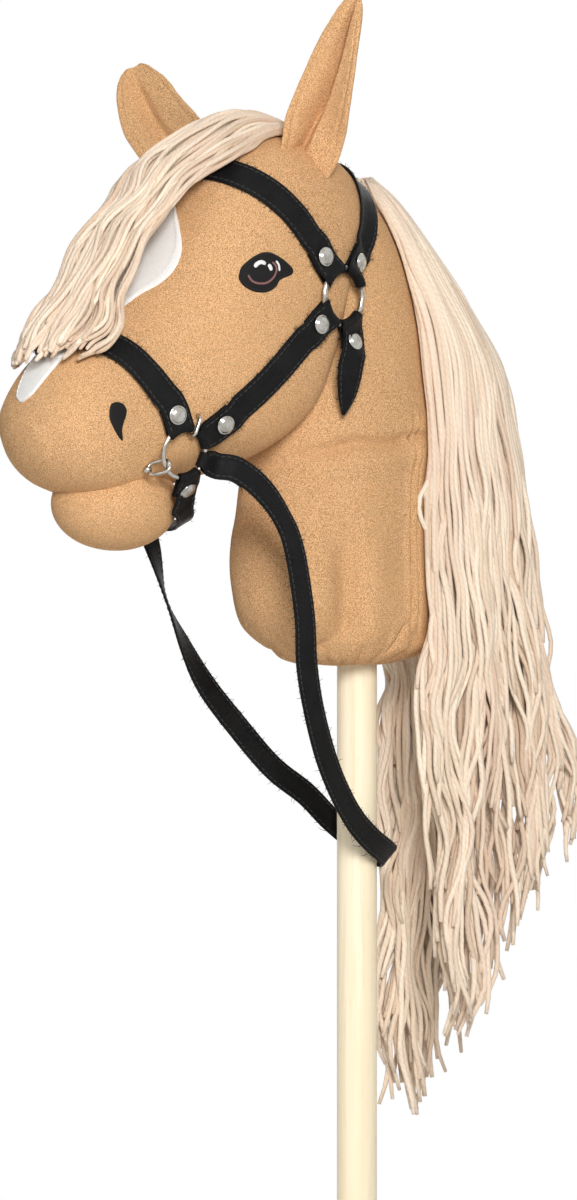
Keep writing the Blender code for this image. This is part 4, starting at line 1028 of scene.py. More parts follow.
def rein_middle(rings):
    """The rein's middle line from ring to ring, with its turn, and the length of its laps."""
    loop = bit_ring.radius + TO_LOOP
    starts = [
        [np.r_[ring.centre + ring.way(REIN_DEG) * d, 0] for d in (loop, loop + 0.006)]
        for ring in rings
    ]
    rows = [*starts[0], *LEFT_REIN, BEND, *RIGHT_REIN[::-1], *starts[1][::-1]]
    return spline(rows, 1200), REIN_LAP - loop + 0.006


def rein_rows():
    """Rows of the rein from the fold on the left bit ring to that on the right, and its line."""
    rings = (bit_ring, bit_ring.flipped())
    line, lap = rein_middle(rings)
    total = length(line)
    between = np.linspace(lap, total - lap, 250)[1:-1]
    steps = np.r_[np.linspace(0, lap, LAP_STEPS), between, total - np.linspace(lap, 0, LAP_STEPS)]
    at = at_lengths(line, steps)
    points, twist = at[:, :3], np.radians(at[:, 3:])
    ahead = unit(at_lengths(line, steps + 0.003)[:, :3] - at_lengths(line, steps - 0.003)[:, :3])
    side = np.where(steps < total * 0.5, 1.0, -1.0)[:, None]
    # the rein's width lies square to its fall, and its face looks away from the middle
    fall = ahead * side * (0, 1, 1)
    fall[(np.abs(points[:, 0]) < 0.030) & (points[:, 2] < 0.46)] = BEND_FALL
    wide = np.cross(X, unit(smooth(unit(fall), 60)))
    wide = unit(wide - ahead * (wide * ahead).sum(axis=1, keepdims=True))
    wide = wide * np.cos(twist) + np.cross(wide, ahead) * (np.sin(twist) * side)
    face = np.cross(wide, ahead)
    round_stick = (np.abs(points[:, :1]) < 0.012) * face[:, 1:2] * 0.03
    face = face * np.where(face[:, :1] * points[:, :1] + round_stick > 0, 1.0, -1.0)
    columns = COLUMNS * REIN_W
    middle = points[:, None] + columns[:, None] * wide[:, None]
    apart = face[:, None] * (STRAP_T + GAP) / 2
    upper, under = middle + apart, middle - apart
    folds = []
    for ring, edge in zip(rings, (wide[0], wide[-1])):
        way = ring.way(REIN_DEG)
        across = ring.across(way, edge)
        folds.append(fold_rows(ring, way, across, columns * REIN_TIGHT, 65, 295, REIN_SLACK))
    first, last = list(under[:LAP_STEPS - 2][::-1]), list(under[2 - LAP_STEPS:][::-1])
    return first + folds[0][::-1] + list(upper) + folds[1] + last, line[::12, :3]


rein, rein_line = rein_rows()
strap_piece("reins", rein, "reins", both_sides=True, hairs=REIN_HAIRS)

# the plush, pressed under the straps
PRESS_FROM, PRESS_REACH, PRESS_NEAR = 0.004, 0.006, 0.002
press = BVHTree.FromPolygons(*joined(pressing))


def pressed(points, faces):
    """Points of the plush, pushed in where a strap lies in it and drawn up to one just over it."""
    normals = normals_of(points, faces)
    room = np.full(len(points), PRESS_NEAR)
    for i, (p, n) in enumerate(zip(points, normals)):
        _, _, _, far = press.ray_cast(Vector(p - n * PRESS_FROM), Vector(n), PRESS_REACH)
        if far is not None:
            room[i] = far - PRESS_FROM - GAP
    move = np.where(room < PRESS_NEAR, np.clip(room, -0.0035, 0.0002), 0.0)
    return points + normals * move[:, None]


for name, (points, faces) in forms.items():
    plush = piece(name + "_plush", pressed(points, faces), faces, TAN, "horse")
    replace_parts(plush, name)


# white blaze: rows of Y, Z and half width down the face
BLAZE = (
    (-0.149, 0.823, 0.007), (-0.156, 0.811, 0.018), (-0.162, 0.798, 0.027), (-0.168, 0.786, 0.030),
    (-0.176, 0.776, 0.027), (-0.188, 0.766, 0.0195), (-0.207, 0.752, 0.0160), (-0.227, 0.738, 0.0155),
    (-0.241, 0.724, 0.0145), (-0.2485, 0.713, 0.0118), (-0.2525, 0.7045, 0.0078),
    (-0.2540, 0.7000, 0.0015),
)
# shares of the way out to an edge, and of the patch's height there: a sewn line and a rolled edge
PATCH_SIDE = ([0, 0.72, 0.80, 0.86, 0.93, 0.98, 1], [1.0, 1.0, 0.62, 0.98, 1.05, 0.6, -0.1])
PATCH_SEAMS = (4, 22)


def blaze():
    """The white patch down the face and its two lines of stitches."""
    rows = spline(BLAZE, 70)
    ahead = unit(np.gradient(rows[:, :2], axis=0))
    across = np.sin(np.linspace(-1, 1, 27) * math.pi / 2)
    heights = np.interp(np.abs(across), *PATCH_SIDE)
    top, low = [], []
    for i, ((y, z, half), (ahead_y, ahead_z)) in enumerate(zip(rows, ahead)):
        n = np.array([0, ahead_z, -ahead_y])
        rise = PATCH_T * heights * min(1.0, 0.15 + min(i, len(rows) - 1 - i) / 3)
        laid = np.array([hit(np.array([x, y, z]), n, CLOSE)[0] for x in across * half])
        top.append(laid + n * (GAP + rise[:, None]))
        low.append(laid - n * 0.0008)
    top, low = np.array(top), np.array(low)
    points, faces = closed_sheet(top, low)
    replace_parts(piece("blaze", points, faces, WHITE, "horse"), "blaze_patch")
    lines = [top[2:-2, column] for column in PATCH_SEAMS]
    lifts = [np.tile((0, -0.6, 0.8), (len(line), 1)) for line in lines]
    stitching("blaze_stitches", lines, lifts, "horse", WHITE_THREAD)


blaze()


# embroidery
THREAD_ROOT = -0.0006
# shares of a patch's size, and of its height there, from its edge to its middle
DOME = ((1, 0.25), (0.965, 0.75), (0.9, 1.0), (0.75, 1.06), (0.5, 1.08), (0.25, 1.08))
# shares of a line's width, and of its height there, from side to side
RIDGE = ((-0.5, 0.2), (-0.38, 0.8), (-0.15, 1), (0.15, 1), (0.38, 0.8), (0.5, 0.2))


class Spot:
    """A place on the side of the head that flat shapes are laid on, X towards the back."""

    def __init__(self, near, sign):
        near = np.array(near)
        mirror = np.array([sign, 1, 1])
        spread = 0.008 * np.array([Y, -Y, Z, -Z])
        normal = unit(np.mean([hit(near + d, outwards(near))[1] for d in spread], axis=0))
        self.centre, self.normal = hit(near, outwards(near))[0] * mirror, normal * mirror
        self.up = unit(Z - self.normal * self.normal[2])
        self.side = np.cross(self.up, self.normal) * sign

    def lay(self, x, y, height):
        """The point at a height over the plush, for a place on the flat shape."""
        where, _ = hit(self.centre + self.side * x + self.up * y, self.normal, CLOSE)
        return where + self.normal * height


def satin(spot, outline, height, lean):
    """A raised embroidered patch inside an outline, its threads laid across at a lean."""
    outline = spline(np.vstack([outline, outline[:1]]), 73)[:-1]
    middle = outline.mean(axis=0)
    rings = [[spot.lay(x, y, THREAD_ROOT) for x, y in outline]]
    flat = [outline]
    for share, rise in DOME:
        flat.append(middle + (outline - middle) * share)
        rings.append([spot.lay(x, y, height * rise) for x, y in flat[-1]])
    points, faces = closed_form(rings)
    along = np.vstack([*flat, middle, middle]) @ (math.cos(lean), math.sin(lean))
    return points, faces, np.stack([np.zeros(len(along)), along], axis=1)


def stroke(spot, line, width, height, base=0.0, closed=False):
    """A raised line of satin stitch, its threads laid across it."""
    line = np.asarray(line, float)
    line = spline(line, max(12, int(length(line) / 0.0005)))
    ahead = unit(np.gradient(line, axis=0))
    across = np.stack([-ahead[:, 1], ahead[:, 0]], axis=1)
    run = distances(line)
    ends = ease(np.minimum(run, run[-1] - run) / (width * 0.4)) * 0.45 + 0.55
    if closed:
        ends = np.ones(len(line))
    rings, uv = [], []
    for p, n, share, v in zip(line, across, ends, run):
        rows = [(-0.5, THREAD_ROOT), *((q, base + height * rise * share) for q, rise in RIDGE)]
        rows.append((0.5, THREAD_ROOT))
        rings.append([spot.lay(*(p + n * q * width * share), lift) for q, lift in rows])
        uv += [(q * 0.5, v) for q, _ in rows]
    points, faces = closed_form(rings)
    return points, faces, uv + [(0.0, 0.0)] * 2


def embroidered(name, parts, finish):
    """One piece of embroidery from several raised shapes, each with a UV for every point."""
    points, faces = joined([(points, outward(points, faces)) for points, faces, _ in parts])
    uv = np.vstack([uv for _, _, uv in parts])
    return piece(name, points, faces, finish, "horse", uv[np.concatenate(faces)])


EYE_AT = (0.056, -0.115, 0.7785)
EYE_OUTLINE = 0.001 * np.array((
    (-19.0, -4.0), (-17.2, 1.5), (-14.0, 4.8), (-8.7, 8.6), (-3.0, 11.2), (2.7, 11.6), (8.1, 9.6),
    (12.8, 7.0), (17.1, 4.0), (19.2, 1.6), (18.4, -0.4), (14.5, -1.8), (10.3, -3.4), (7.8, -5.4),
    (6.0, -8.2), (2.0, -10.8), (-2.7, -12.0), (-8.7, -11.7), (-13.4, -10.0), (-16.8, -7.6),
))
# lines in the eye: finish, width, and places in millimetres
EYE_LINES = {
    "iris": (BROWN_THREAD, 0.0013, (
        (
            (-13.2, -2.0), (-11.0, -5.4), (-6.8, -7.0), (-0.8, -6.6), (4.0, -3.6), (6.2, -0.2),
            (6.6, 3.2), (4.0, 6.2),
        ),
    )),
    "glint": (WHITE_THREAD, 0.0025, (
        ((-8.6, 3.0), (-6.6, 5.0), (-3.8, 6.0), (-0.9, 5.0)), ((0.7, 4.4), (2.2, 3.2), (2.9, 0.9)),
    )),
    "side_glint": (WHITE_THREAD, 0.0014, (((6.6, 6.9), (8.5, 4.4), (8.9, 0.8)),)),
}
NOSTRIL_AT = (0.042, -0.2175, 0.690)
NOSTRIL_OUTLINE = 0.001 * np.array((
    (-6.2, 5.5), (-4.6, 9.4), (-0.6, 10.8), (4.0, 9.6), (6.2, 6.2), (5.4, 2.0), (3.2, -3.0), (2.4, -7.5),
    (3.2, -12.6), (-0.4, -9.6), (-4.2, -3.8), (-6.2, 1.0),
))


def eye(side, spot):
    """An eye: a filled ball, a raised rim round it, and the lines in it."""
    fill = satin(spot, EYE_OUTLINE, 0.0007, 1.1)
    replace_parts(embroidered(side + "_eye_fill", [fill], BLACK_THREAD), side + "_eye")
    inner = EYE_OUTLINE * 0.955
    rim = stroke(spot, np.vstack([inner, inner[:1]]), 0.0022, 0.0012, closed=True)
    embroidered(side + "_eye_rim", [rim], BLACK_THREAD)
    for name, (finish, width, lines) in EYE_LINES.items():
        strokes = [stroke(spot, 0.001 * np.array(line), width, 0.0004, 0.00075) for line in lines]
        embroidered(side + "_eye_" + name, strokes, finish)


def nostril(side, spot):
    """A nostril: one filled patch."""
    fill = satin(spot, NOSTRIL_OUTLINE, 0.0008, 1.4)
    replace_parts(embroidered(side + "_nostril_fill", [fill], BLACK_THREAD), side + "_nostril")


for side, sign in (("left", 1), ("right", -1)):
    eye(side, Spot(EYE_AT, sign))
    nostril(side, Spot(NOSTRIL_AT, sign))


# ears
def ear(name, points, facings, widths, cup, crease_at, crease_deep, crease_wide):
    """A cupped, stuffed leaf along a line from its root inside the head to its tip."""
    line = spline(points, 200)
    shares = 1 - (1 - np.linspace(0, 1, 56)) ** 1.35
    line = at_lengths(line, shares * length(line))
    along = unit(np.gradient(line, axis=0))
    at_root, at_tip = np.array(facings)
    q = -np.cos(np.linspace(0, math.pi, 61))
    rings = []
    for p, ahead, share in zip(line, along, shares):
        turn = ease(share / 0.55)
        facing = at_root * (1 - turn) + at_tip * turn
        front = unit(facing - ahead * np.dot(facing, ahead))
        side = np.cross(ahead, front)
        half = np.interp(share, *widths)
        deep = min(np.interp(share, *cup), 0.6 * half)
        thick = min(0.0085 - 0.003 * share, 0.9 * half)
        edge = thick / 2 * np.sqrt(np.maximum(1 - q**4, 0))
        slope = unit(np.stack([-2 * deep * q / max(half, 1e-6), np.ones(len(q))], axis=1))
        # the sewn rim: a shallow line just inside the edge, and a crease up the middle
        groove = 0.0008 * bell(np.abs(q) - 0.84, 0.05)
        crease = q - crease_at[0] - crease_at[1] * (1 - share)
        wide = np.where(crease > 0, *crease_wide)
        hollow = crease_deep * bell(crease, wide) * (1 - q**4) * ease((1 - share) / 0.2)
        cupped = np.stack([half * q, -deep * (1 - q**2) - hollow], axis=1)
        back = cupped - slope * edge[:, None]
        fore = cupped + slope * (edge - groove)[:, None]
        outline = np.vstack([back, fore[1:-1][::-1]])
        rings.append(p + outline[:, :1] * side + outline[:, 1:] * front)
    points, faces = closed_form(rings)
    faces = outward(points, faces)
    points = points + normals_of(points, faces) * (0.0006 * lumps(points, 0.018, 4.0))[:, None]
    obj = piece(name + "_plush", points, faces, TAN, "horse")
    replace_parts(obj, name)


ear(
    "left_ear",
    (
        (0.034, -0.077, 0.834), (0.0463, -0.0730, 0.8544), (0.0512, -0.0720, 0.873),
        (0.0588, -0.070, 0.8956), (0.0705, -0.066, 0.929), (0.0787, -0.062, 0.9510),
    ),
    facings=((0.96, -0.28, 0.05), (0.50, -0.86, 0.05)),
    widths=(
        [0, 0.1, 0.19, 0.32, 0.5, 0.63, 0.76, 0.9, 0.96, 1],
        [0.0150, 0.0172, 0.0182, 0.0190, 0.0178, 0.0155, 0.0125, 0.0083, 0.0055, 0.0025],
    ),
    cup=([0, 0.3, 1], [0.012, 0.012, 0.003]),
    crease_at=(0.30, -0.62), crease_deep=0.0095, crease_wide=(0.09, 0.36),
)
ear(
    "right_ear",
    (
        (-0.034, -0.077, 0.834), (-0.060, -0.0770, 0.852), (-0.092, -0.076, 0.867),
        (-0.114, -0.0745, 0.883), (-0.130, -0.073, 0.902), (-0.1375, -0.072, 0.9155),
    ),
    facings=((0.50, -0.85, 0.20), (0.50, -0.85, 0.20)),
    widths=(
        [0, 0.1, 0.3, 0.5, 0.7, 0.8, 0.88, 0.94, 0.98, 1],
        [0.010, 0.0140, 0.0205, 0.0228, 0.0220, 0.0202, 0.0172, 0.0135, 0.0095, 0.0060],
    ),
    cup=([0, 0.3, 1], [0.012, 0.010, 0.003]),
    crease_at=(-0.10, 0.0), crease_deep=0.0055, crease_wide=(0.20, 0.28),
)


# metal
def metal(name, parts, node, body="horse"):
    """A nickel piece from closed forms, for a node."""
    points, faces = joined([(points, outward(points, faces)) for points, faces in parts])
    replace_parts(piece(name, points, faces, NICKEL, body), node)


def wire_loop(line, radius, sides=16):
    """A closed loop of round wire through points."""
    ahead = unit(np.roll(line, -1, axis=0) - np.roll(line, 1, axis=0))
    out = unit(line - line.mean(axis=0))
    side = unit(out - ahead * (out * ahead).sum(axis=1, keepdims=True))
    rings = line[:, None] + radius * circle(sides, side[:, None], np.cross(ahead, side)[:, None])
    faces = ring_faces(len(line), sides)
    last = (len(line) - 1) * sides
    for j in range(sides):
        after = (j + 1) % sides
        faces.append((last + j, last + after, after, j))
    return rings.reshape(-1, 3), faces


def bit():
    """A bar through the mouth with a long eye round each bit ring."""
    out = bit_ring.way(211.0)
    wire_at = bit_ring.centre + bit_ring.radius * out
    wire_run = np.cross(bit_ring.normal, out)
    long = np.array([-0.78, -0.58, -0.22])
    long = unit(long - wire_run * np.dot(long, wire_run))
    turn = math.radians(-38.0)
    wide = math.cos(turn) * np.cross(wire_run, long) + math.sin(turn) * wire_run
    half_long, half_wide = EYE_HALF
    middle = wire_at + long * (half_long - EYE_WIRE / 2 - bit_ring.wire / 2 - 0.0008)
    a = angles(64)[:, None]
    reach = half_wide * np.cos(a) + (half_long - half_wide) * np.tanh(np.cos(a) * 6)
    loop = middle + long * reach + wide * (half_wide * np.sin(a))
    end_x, end_y, end_z = middle + long * (half_long - 0.0002)
    bar_end = end_x + BIT_D / 4
    bar = [(x, end_y, end_z) for x in np.linspace(-bar_end, bar_end, 24)]
    thick = np.full(24, BIT_D / 2)
    thick[[0, -1]] = BIT_D * 0.38
    eyes = [wire_loop(line, EYE_WIRE / 2) for line in (loop, mirrored(loop))]
    metal("bit_bar", [tubes([bar], [thick], 24)[:2], *eyes], "bit")


def keepers():
    """A wire staple over each bit ring, with both feet in the plush."""
    way = bit_ring.way(70.0)
    high = bit_ring.wire / 2 + GAP + KEEPER_WIRE / 2 + 0.0002
    inner, outer = bit_ring.radius - 0.0042, bit_ring.radius + 0.0085
    feet = []
    for r in (inner, outer):
        where, _ = hit(bit_ring.centre + way * r, bit_ring.normal)
        feet.append(float(np.dot(where - bit_ring.centre, bit_ring.normal)) + GAP + 0.0004)
    shape = [
        (inner, feet[0]), (inner, feet[0] * 0.5), (inner + 0.0003, high * 0.45),
        (inner + 0.0016, high), (bit_ring.radius, high), (outer - 0.0020, high * 0.8),
        (outer - 0.0003, high * 0.2), (outer, feet[1] * 0.5), (outer, feet[1]),
    ]
    staple = np.array([bit_ring.centre + way * r + bit_ring.normal * h for r, h in spline(shape, 48)])
    for side, line in (("left", staple), ("right", mirrored(staple))):
        form = tubes([line], [np.full(48, KEEPER_WIRE / 2)], 16)[:2]
        metal(side + "_keeper_wire", [form], side + "_keeper")


def metal_ring(node, ring):
    """A round ring that turns with its own body."""
    line = ring.centre + ring.radius * circle(80, ring.back, ring.up)
    metal(node + "_metal", [wire_loop(line, ring.wire / 2, 18)], node, node)


bit()
keepers()
metal_ring("left_upper_ring", top_ring)
metal_ring("left_bit_ring", bit_ring)
metal_ring("right_upper_ring", top_ring.flipped())
metal_ring("right_bit_ring", bit_ring.flipped())


# stick
def stick():
    """A round stick with a small chamfer at its sawn lower end."""
    r = STICK_D / 2
    profile = [(r - 0.0040, 0), (r - 0.0014, 0), (r - 0.0005, 0.0003), (r - 0.0001, 0.0008), (r, 0.0014)]
    profile += [(r, z) for z in np.linspace(0.02, STICK_TOP - 0.01, 16)]
    profile += [(r - 0.0005, STICK_TOP - 0.0005), (r - 0.002, STICK_TOP)]
    points, faces = turned(profile, np.zeros(3), X, Z, 72)
    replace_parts(piece("wooden_stick", points, faces, WOOD, "horse"), "stick")


stick()

# yarn
# the mane's bundle from the crest down: height, then where its section starts and ends in X and Y
CREST = (
    (0.843, 0.001, 0.009, 0.001, 0.008), (0.830, 0.001, 0.025, -0.001, 0.016),
    (0.812, 0.001, 0.036, 0.000, 0.026), (0.790, 0.001, 0.046, 0.002, 0.039),
    (0.762, 0.001, 0.052, 0.005, 0.058), (0.726, 0.001, 0.055, 0.008, 0.084),
    (0.690, 0.001, 0.056, 0.009, 0.095), (0.650, 0.001, 0.057, 0.010, 0.104),
    (0.600, 0.002, 0.057, 0.012, 0.112),
)
FALLS = {
    "left": (
        (0.562, 0.012, 0.057, 0.014, 0.118), (0.535, 0.028, 0.056, 0.016, 0.121),
        (0.512, 0.032, 0.055, 0.018, 0.126), (0.470, 0.032, 0.054, 0.020, 0.134),
        (0.425, 0.031, 0.053, 0.022, 0.136), (0.395, 0.031, 0.051, 0.024, 0.120),
        (0.360, 0.030, 0.049, 0.030, 0.102), (0.320, 0.031, 0.046, 0.038, 0.076),
        (0.300, 0.032, 0.043, 0.042, 0.067), (0.287, 0.034, 0.040, 0.047, 0.060),
    ),
    "right": (
        (0.562, 0.012, 0.057, 0.032, 0.118), (0.535, 0.028, 0.056, 0.050, 0.121),
        (0.512, 0.032, 0.055, 0.054, 0.126), (0.470, 0.029, 0.054, 0.054, 0.134),
        (0.425, 0.029, 0.053, 0.052, 0.138), (0.395, 0.030, 0.051, 0.050, 0.130),
        (0.360, 0.030, 0.049, 0.048, 0.118), (0.320, 0.031, 0.046, 0.048, 0.102),
        (0.285, 0.032, 0.043, 0.052, 0.094), (0.250, 0.033, 0.041, 0.064, 0.088),
        (0.236, 0.034, 0.039, 0.070, 0.083),
    ),
}
# the back of the neck, by height
NECK_BACK = (
    [0.60, 0.65, 0.70, 0.75, 0.79, 0.82, 0.84], [0.045, 0.045, 0.041, 0.034, 0.021, 0.006, -0.003],
)
# layers of strands from the outside in: share of the section, strands, and how much lower they start
LAYERS = ((1.0, 74, 0.0), (0.90, 70, 0.08), (0.74, 44, 0.17), (0.5, 24, 0.20))
BUNDLE_BOXY, BUNDLE_HALF, HANG_FROM, MANE_TOP = 2.7, (0.0275, 0.050), 0.42, 0.8425
LOCK, ALONE = 0.0085, 0.0075
# shares along a strand, and of its thickness there
MANE_ENDS = ([0, 0.05, 0.97, 1], [0.4, 1, 1, 0.72])
FORELOCK_ENDS = ([0, 0.04, 0.97, 1], [0.7, 1, 1, 0.72])


def off_plush(line, lift):
    """A strand's points moved out to a distance over the plush wherever they are nearer."""
    out = np.array(line)
    for i, p in enumerate(line):
        where, normal, _, _ = skin.find_nearest(Vector(p), CLOSE)
        if where is not None and (Vector(p) - where).dot(normal) < lift:
            out[i] = np.array(where) + np.array(normal) * lift
    return out


def swept(line, loose, phase):
    """A strand's points moved as locks of hair are: neighbours together, and each a little alone."""
    x, y, z = line.T
    together = drift(np.stack([x / 0.020, y / 0.020, z / 0.075 + phase], axis=1))
    own_y = y[0] / 0.0012 + ALONE * np.arange(len(z)) / 60
    own = drift(np.stack([np.full(len(z), x[0] / 0.0012), own_y, z / 0.034], axis=1))
    return line + loose[:, None] * (LOCK * together * (0.6, 1.5, 0) + ALONE * own * (0.9, 1.5, 0))


def mane_strand(table, sign, angle, share, root, tip):
    """One strand of the mane at an angle round the bundle, from its root on the crest to its tip."""
    z = root + (tip - root) * np.linspace(0, 1, STRAND_POINTS) ** 1.12
    rows = table[::-1]
    hang = np.maximum(z, HANG_FROM)
    x0, x1, y0, y1 = [np.interp(hang, rows[:, 0], rows[:, k]) for k in (1, 2, 3, 4)]
    y0 = y0 + 0.0095 * ease((0.80 - z) / 0.06) * ease((z - 0.50) / 0.06)
    edge = YARN_R + 0.0004
    out_x, out_y = [boxed(value, BUNDLE_BOXY) * share for value in (math.cos(angle), math.sin(angle))]
    x = (x0 + x1) / 2 + np.maximum((x1 - x0) / 2 - edge, 0.001) * out_x
    y = (y0 + y1) / 2 + np.maximum((y1 - y0) / 2 - edge, 0.001) * out_y
    if share < 0.95:
        fall = ease((root - z) / 0.055)
        x = 0.0022 * (1 - fall) + x * fall
        y = (np.interp(z, *NECK_BACK) + 0.003) * (1 - fall) + y * fall
    line = np.stack([x * sign, y, z], axis=1)
    line = swept(line, 0.22 + ease((0.78 - z) / 0.36), sign * 3.0)
    line = off_plush(line, YARN_R + rng.uniform(0.0005, 0.0045))
    return off_plush(smooth(line, 2), YARN_R + 0.0003)


def strand_girths(radius, ends):
    """Radii along a strand that is thinner at its ends."""
    return radius * np.interp(np.linspace(0, 1, STRAND_POINTS), *ends)


def yarn_piece(node, strands):
    """Strands, each a line with its radii and its colour share with painted shade, as one piece for a
    node.
    """
    lines, radii, tones_and_shade = zip(*strands)
    points, faces, uv, tone_and_shade = tubes(lines, radii, 7, tones_and_shade)
    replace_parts(piece(node + "_yarn", points, faces, YARN, "horse", uv, tone_and_shade), node)


def mane_tip(table, angle, share, clumps):
    """How low a strand ends: inside the bundle's outline, in uneven clumps, and often shorter."""
    level = table[np.argmin(np.abs(table[:, 0] - HANG_FROM))]
    middle, half = (level[3] + level[4]) / 2, (level[4] - level[3]) / 2
    y = middle + half * boxed(math.sin(angle), BUNDLE_BOXY) * share
    inside = table[(table[:, 3] - 0.003 <= y) & (table[:, 4] + 0.003 >= y) & (table[:, 0] < 0.6)]
    tip = float(inside[:, 0].min()) if len(inside) else HANG_FROM
    tip = max(tip, table[-1, 0]) + clumps[int(angle * 3)] + abs(rng.normal(0, 0.014))
    if rng.random() < 0.5:
        tip += rng.uniform(0.01, 0.19) * min(1.0, (0.58 - tip) / 0.2)
    return tip + (1 - share) * 0.09


def mane(side, sign):
    """The yarn that falls on one side of the neck, its strands evenly spread round the bundle."""
    table = spline(CREST + FALLS[side], 300)
    turns = np.linspace(0, 2 * math.pi, 721)
    outline = np.stack([boxed(np.cos(turns), BUNDLE_BOXY), boxed(np.sin(turns), BUNDLE_BOXY)], axis=1)
    run = distances(outline * BUNDLE_HALF)
    clumps = rng.uniform(-0.004, 0.032, 19)
    strands = []
    for share, count, lower in LAYERS:
        for k in range(count):
            place = (k + rng.uniform(-0.35, 0.35)) / count * run[-1] % run[-1]
            angle = float(np.interp(place, run[:-1], turns[:-1]))
            back = (math.sin(angle) + 1) / 2
            root = MANE_TOP - lower * back * rng.uniform(0.5, 1.0) - rng.uniform(0, 0.003)
            tip = mane_tip(table, angle, share, clumps)
            line = mane_strand(table, sign, angle, share, root, tip)
            girths = strand_girths(YARN_R * rng.uniform(0.86, 1.18), MANE_ENDS)
            # darkness at random, and painted darker as shade for the strands of inner layers
            tone_and_shade = np.clip(rng.normal(0.28, 0.27) + (1 - share) * 1.2, 0, 1)
            strands.append((line, girths, tone_and_shade))
    yarn_piece("mane_" + side, strands)


mane("left", 1)
mane("right", -1)

# forelock: rows of Y, Z, half width, half thickness and drop of its sides
FORELOCK = (
    (-0.056, 0.865, 0.018, 0.0045, 0.003), (-0.072, 0.872, 0.025, 0.0070, 0.006),
    (-0.098, 0.874, 0.031, 0.0080, 0.011), (-0.120, 0.867, 0.034, 0.0075, 0.012),
    (-0.142, 0.853, 0.035, 0.0080, 0.010), (-0.158, 0.837, 0.036, 0.009, 0.005),
    (-0.174, 0.819, 0.035, 0.009, 0.003), (-0.195, 0.796, 0.036, 0.009, 0.005),
    (-0.215, 0.773, 0.038, 0.008, 0.010), (-0.230, 0.756, 0.042, 0.007, 0.019),
    (-0.242, 0.743, 0.039, 0.005, 0.018), (-0.250, 0.733, 0.034, 0.003, 0.014),
    (-0.2555, 0.7245, 0.029, 0.003, 0.010),
)
FORELOCK_LAYERS = ((1.0, 22), (0.6, 25), (0.2, 26), (-0.4, 24))


def forelock_strand(table, u, layer):
    """One strand of the forelock, at a share across it and a share of its thickness."""
    end = rng.uniform(0.80, 0.998 - 0.075 * ease(u))
    t = np.linspace(0.002, end, STRAND_POINTS)
    y, z, half, thick, drop, rise_y, rise_z = [
        np.interp(t * (len(table) - 1), np.arange(len(table)), column) for column in table.T
    ]
    phase = rng.uniform(0, 6.28, 2)
    sway = ease(t * 3) * (0.03 * np.sin(t * 9 + phase[0]) + 0.05 * t * math.sin(phase[1]))
    across = np.clip(u + sway, -1.03, 1.03)
    full = np.sqrt(np.maximum(1 - np.abs(across) ** 2.6, 0.02))
    lift = (thick - YARN_R) * layer * full - drop * across**2 + 0.0005 * np.sin(t * 26 + phase[1])
    line = np.stack([(half - YARN_R) * across, y + rise_y * lift, z + rise_z * lift], axis=1)
    together = drift(line / 0.030 + (0, 0, 5))
    own = drift(line / (0.003, 0.05, 0.05) + (0, 0, layer))
    line = line + ease(t * 2.5)[:, None] * (0.0050 * together + 0.0062 * own) * (1.3, 0.6, 0.6)
    line = smooth(off_plush(line, YARN_R + 0.0012 + 0.002 * (layer + 0.5)), 2)
    return off_plush(line, YARN_R + 0.0010)


def forelock():
    """The yarn that falls from the poll over the forehead."""
    table = spline(FORELOCK, 300)
    rise = unit(np.stack([np.gradient(table[:, 1]), -np.gradient(table[:, 0])], axis=1))
    table = np.hstack([table, rise])
    strands = []
    for layer, count in FORELOCK_LAYERS:
        for k in range(count):
            u = np.clip(-1 + 2 * (k + 0.5) / count + rng.normal(0, 0.03), -0.97, 0.97)
            line = forelock_strand(table, u, layer)
            girths = strand_girths(YARN_R * rng.uniform(0.80, 1.05), FORELOCK_ENDS)
            # darkness at random, and painted darker as shade for the strands of layers further under
            tone_and_shade = np.clip(rng.normal(0.28, 0.28) + (1 - layer) * 0.30, 0, 1)
            strands.append((line, girths, tone_and_shade))
    yarn_piece("forelock", strands)


forelock()

# camera
CAMERA_AZ, CAMERA_EL, CAMERA_FAR, VIEW_HALF = math.radians(52.5), math.radians(1.0), 4.5, 0.375
SENSOR = 36.0
up = Vector((0, 0, 1))
right = Vector((math.cos(CAMERA_AZ), math.sin(CAMERA_AZ), 0))
level = Vector((math.sin(CAMERA_AZ), -math.cos(CAMERA_AZ), 0))
back = level * math.cos(CAMERA_EL) + up * math.sin(CAMERA_EL)
target = right * -0.0428 + up * 0.57875


def add(name, data, at):
    """Puts a camera or a lamp at a place, turned towards the target."""
    obj = bpy.data.objects.new(name, data)
    obj.location = at
    obj.rotation_euler = (at - target).to_track_quat("Z", "Y").to_euler()
    bpy.context.scene.collection.objects.link(obj)
    return obj


camera_data = bpy.data.cameras.new("camera")
camera_data.sensor_fit = "AUTO"
camera_data.sensor_width = SENSOR
camera_data.lens = SENSOR / 2 * CAMERA_FAR / VIEW_HALF
camera_data.clip_end = 50.0
bpy.context.scene.camera = add("camera", camera_data, target + back * CAMERA_FAR)


# light, floor and background
def lamp(name, at, watts, size):
    """A round area lamp that points at the target."""
    data = bpy.data.lights.new(name, "AREA")
    data.shape = "DISK"
    data.size = size
    data.energy = watts
    add(name, data, at)


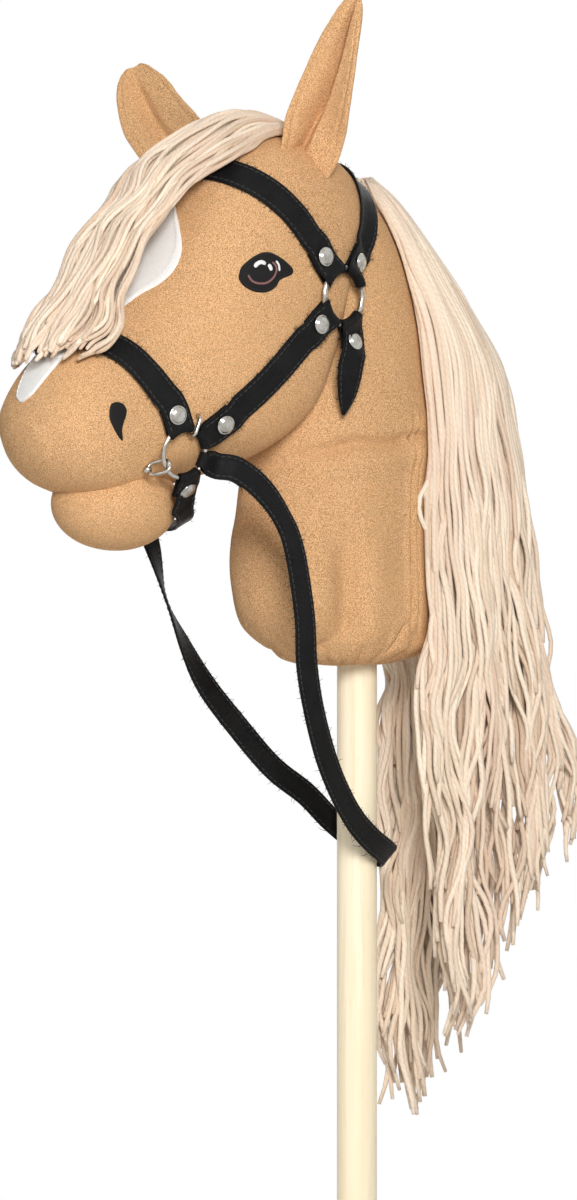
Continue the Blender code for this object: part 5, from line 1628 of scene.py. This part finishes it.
lamp("key", target + back * 2.1 + right * 0.25 + up * 0.75, 43.5, 0.75)
lamp("side", target + back * 1.2 - right * 1.7 + up * 0.9, 7.0, 1.0)
lamp("behind", target - back * 1.7 + right * 0.3 + up * 1.5, 17.0, 1.3)


def background_rays(nodes):
    """1 for the rays that see the plain white background: camera, glossy and transmission."""
    total = nodes.node("LightPath", out="Is Camera Ray")
    for ray in ("Is Glossy Ray", "Is Transmission Ray"):
        total = total.math("MAXIMUM", nodes.node("LightPath", out=ray))
    return total


def studio():
    """White background for the eye, and a dimmer, slightly warm light from all round."""
    world = bpy.data.worlds.new("studio")
    world.use_nodes = True
    bpy.context.scene.world = world
    w = Nodes(world.node_tree)
    room = w.node("Background", None, {"Color": (1.0, 0.99, 0.97), "Strength": 0.21})
    seen = w.node("Background", None, {"Color": (1.0, 1.0, 1.0), "Strength": 1.0})
    either = w.node("MixShader", None, {0: background_rays(w), 1: room, 2: seen})
    w.feed(w.tree.nodes["World Output"].inputs["Surface"], either)


def floor_finish():
    """Pale floor that takes a shadow and fades into the white background further out."""
    f = Finish("pale_floor", Base_Color=(0.95, 0.95, 0.94), Roughness=0.9, Specular_IOR_Level=0.0)
    far = f.node("VectorMath", {"operation": "LENGTH"}, {0: f.place()}, out="Value")
    white = f.node("Emission", None, {"Color": (1.0, 1.0, 1.0), "Strength": 1.0})
    fade = f.span(far, 0.22, 0.95) * background_rays(f)
    mixed = f.node("MixShader", None, {0: fade, 1: Flow(f, f.shader.outputs[0]), 2: white})
    f.feed(f.tree.nodes["Material Output"].inputs["Surface"], mixed)
    return f.material


def floor():
    """A round floor just under the stick's end, in rings."""
    rings = [d * circle(72, X, Y) - 0.0006 * Z for d in np.linspace(0.05, 1.5, 16)]
    mesh = bpy.data.meshes.new("floor")
    mesh.from_pydata(np.concatenate(rings).tolist(), [], ring_faces(16, 72) + [tuple(range(72))])
    obj = bpy.data.objects.new("floor", mesh)
    bpy.context.scene.collection.objects.link(obj)
    mesh.materials.append(floor_finish())


studio()
floor()
scene = bpy.context.scene
scene.view_settings.view_transform = "Standard"
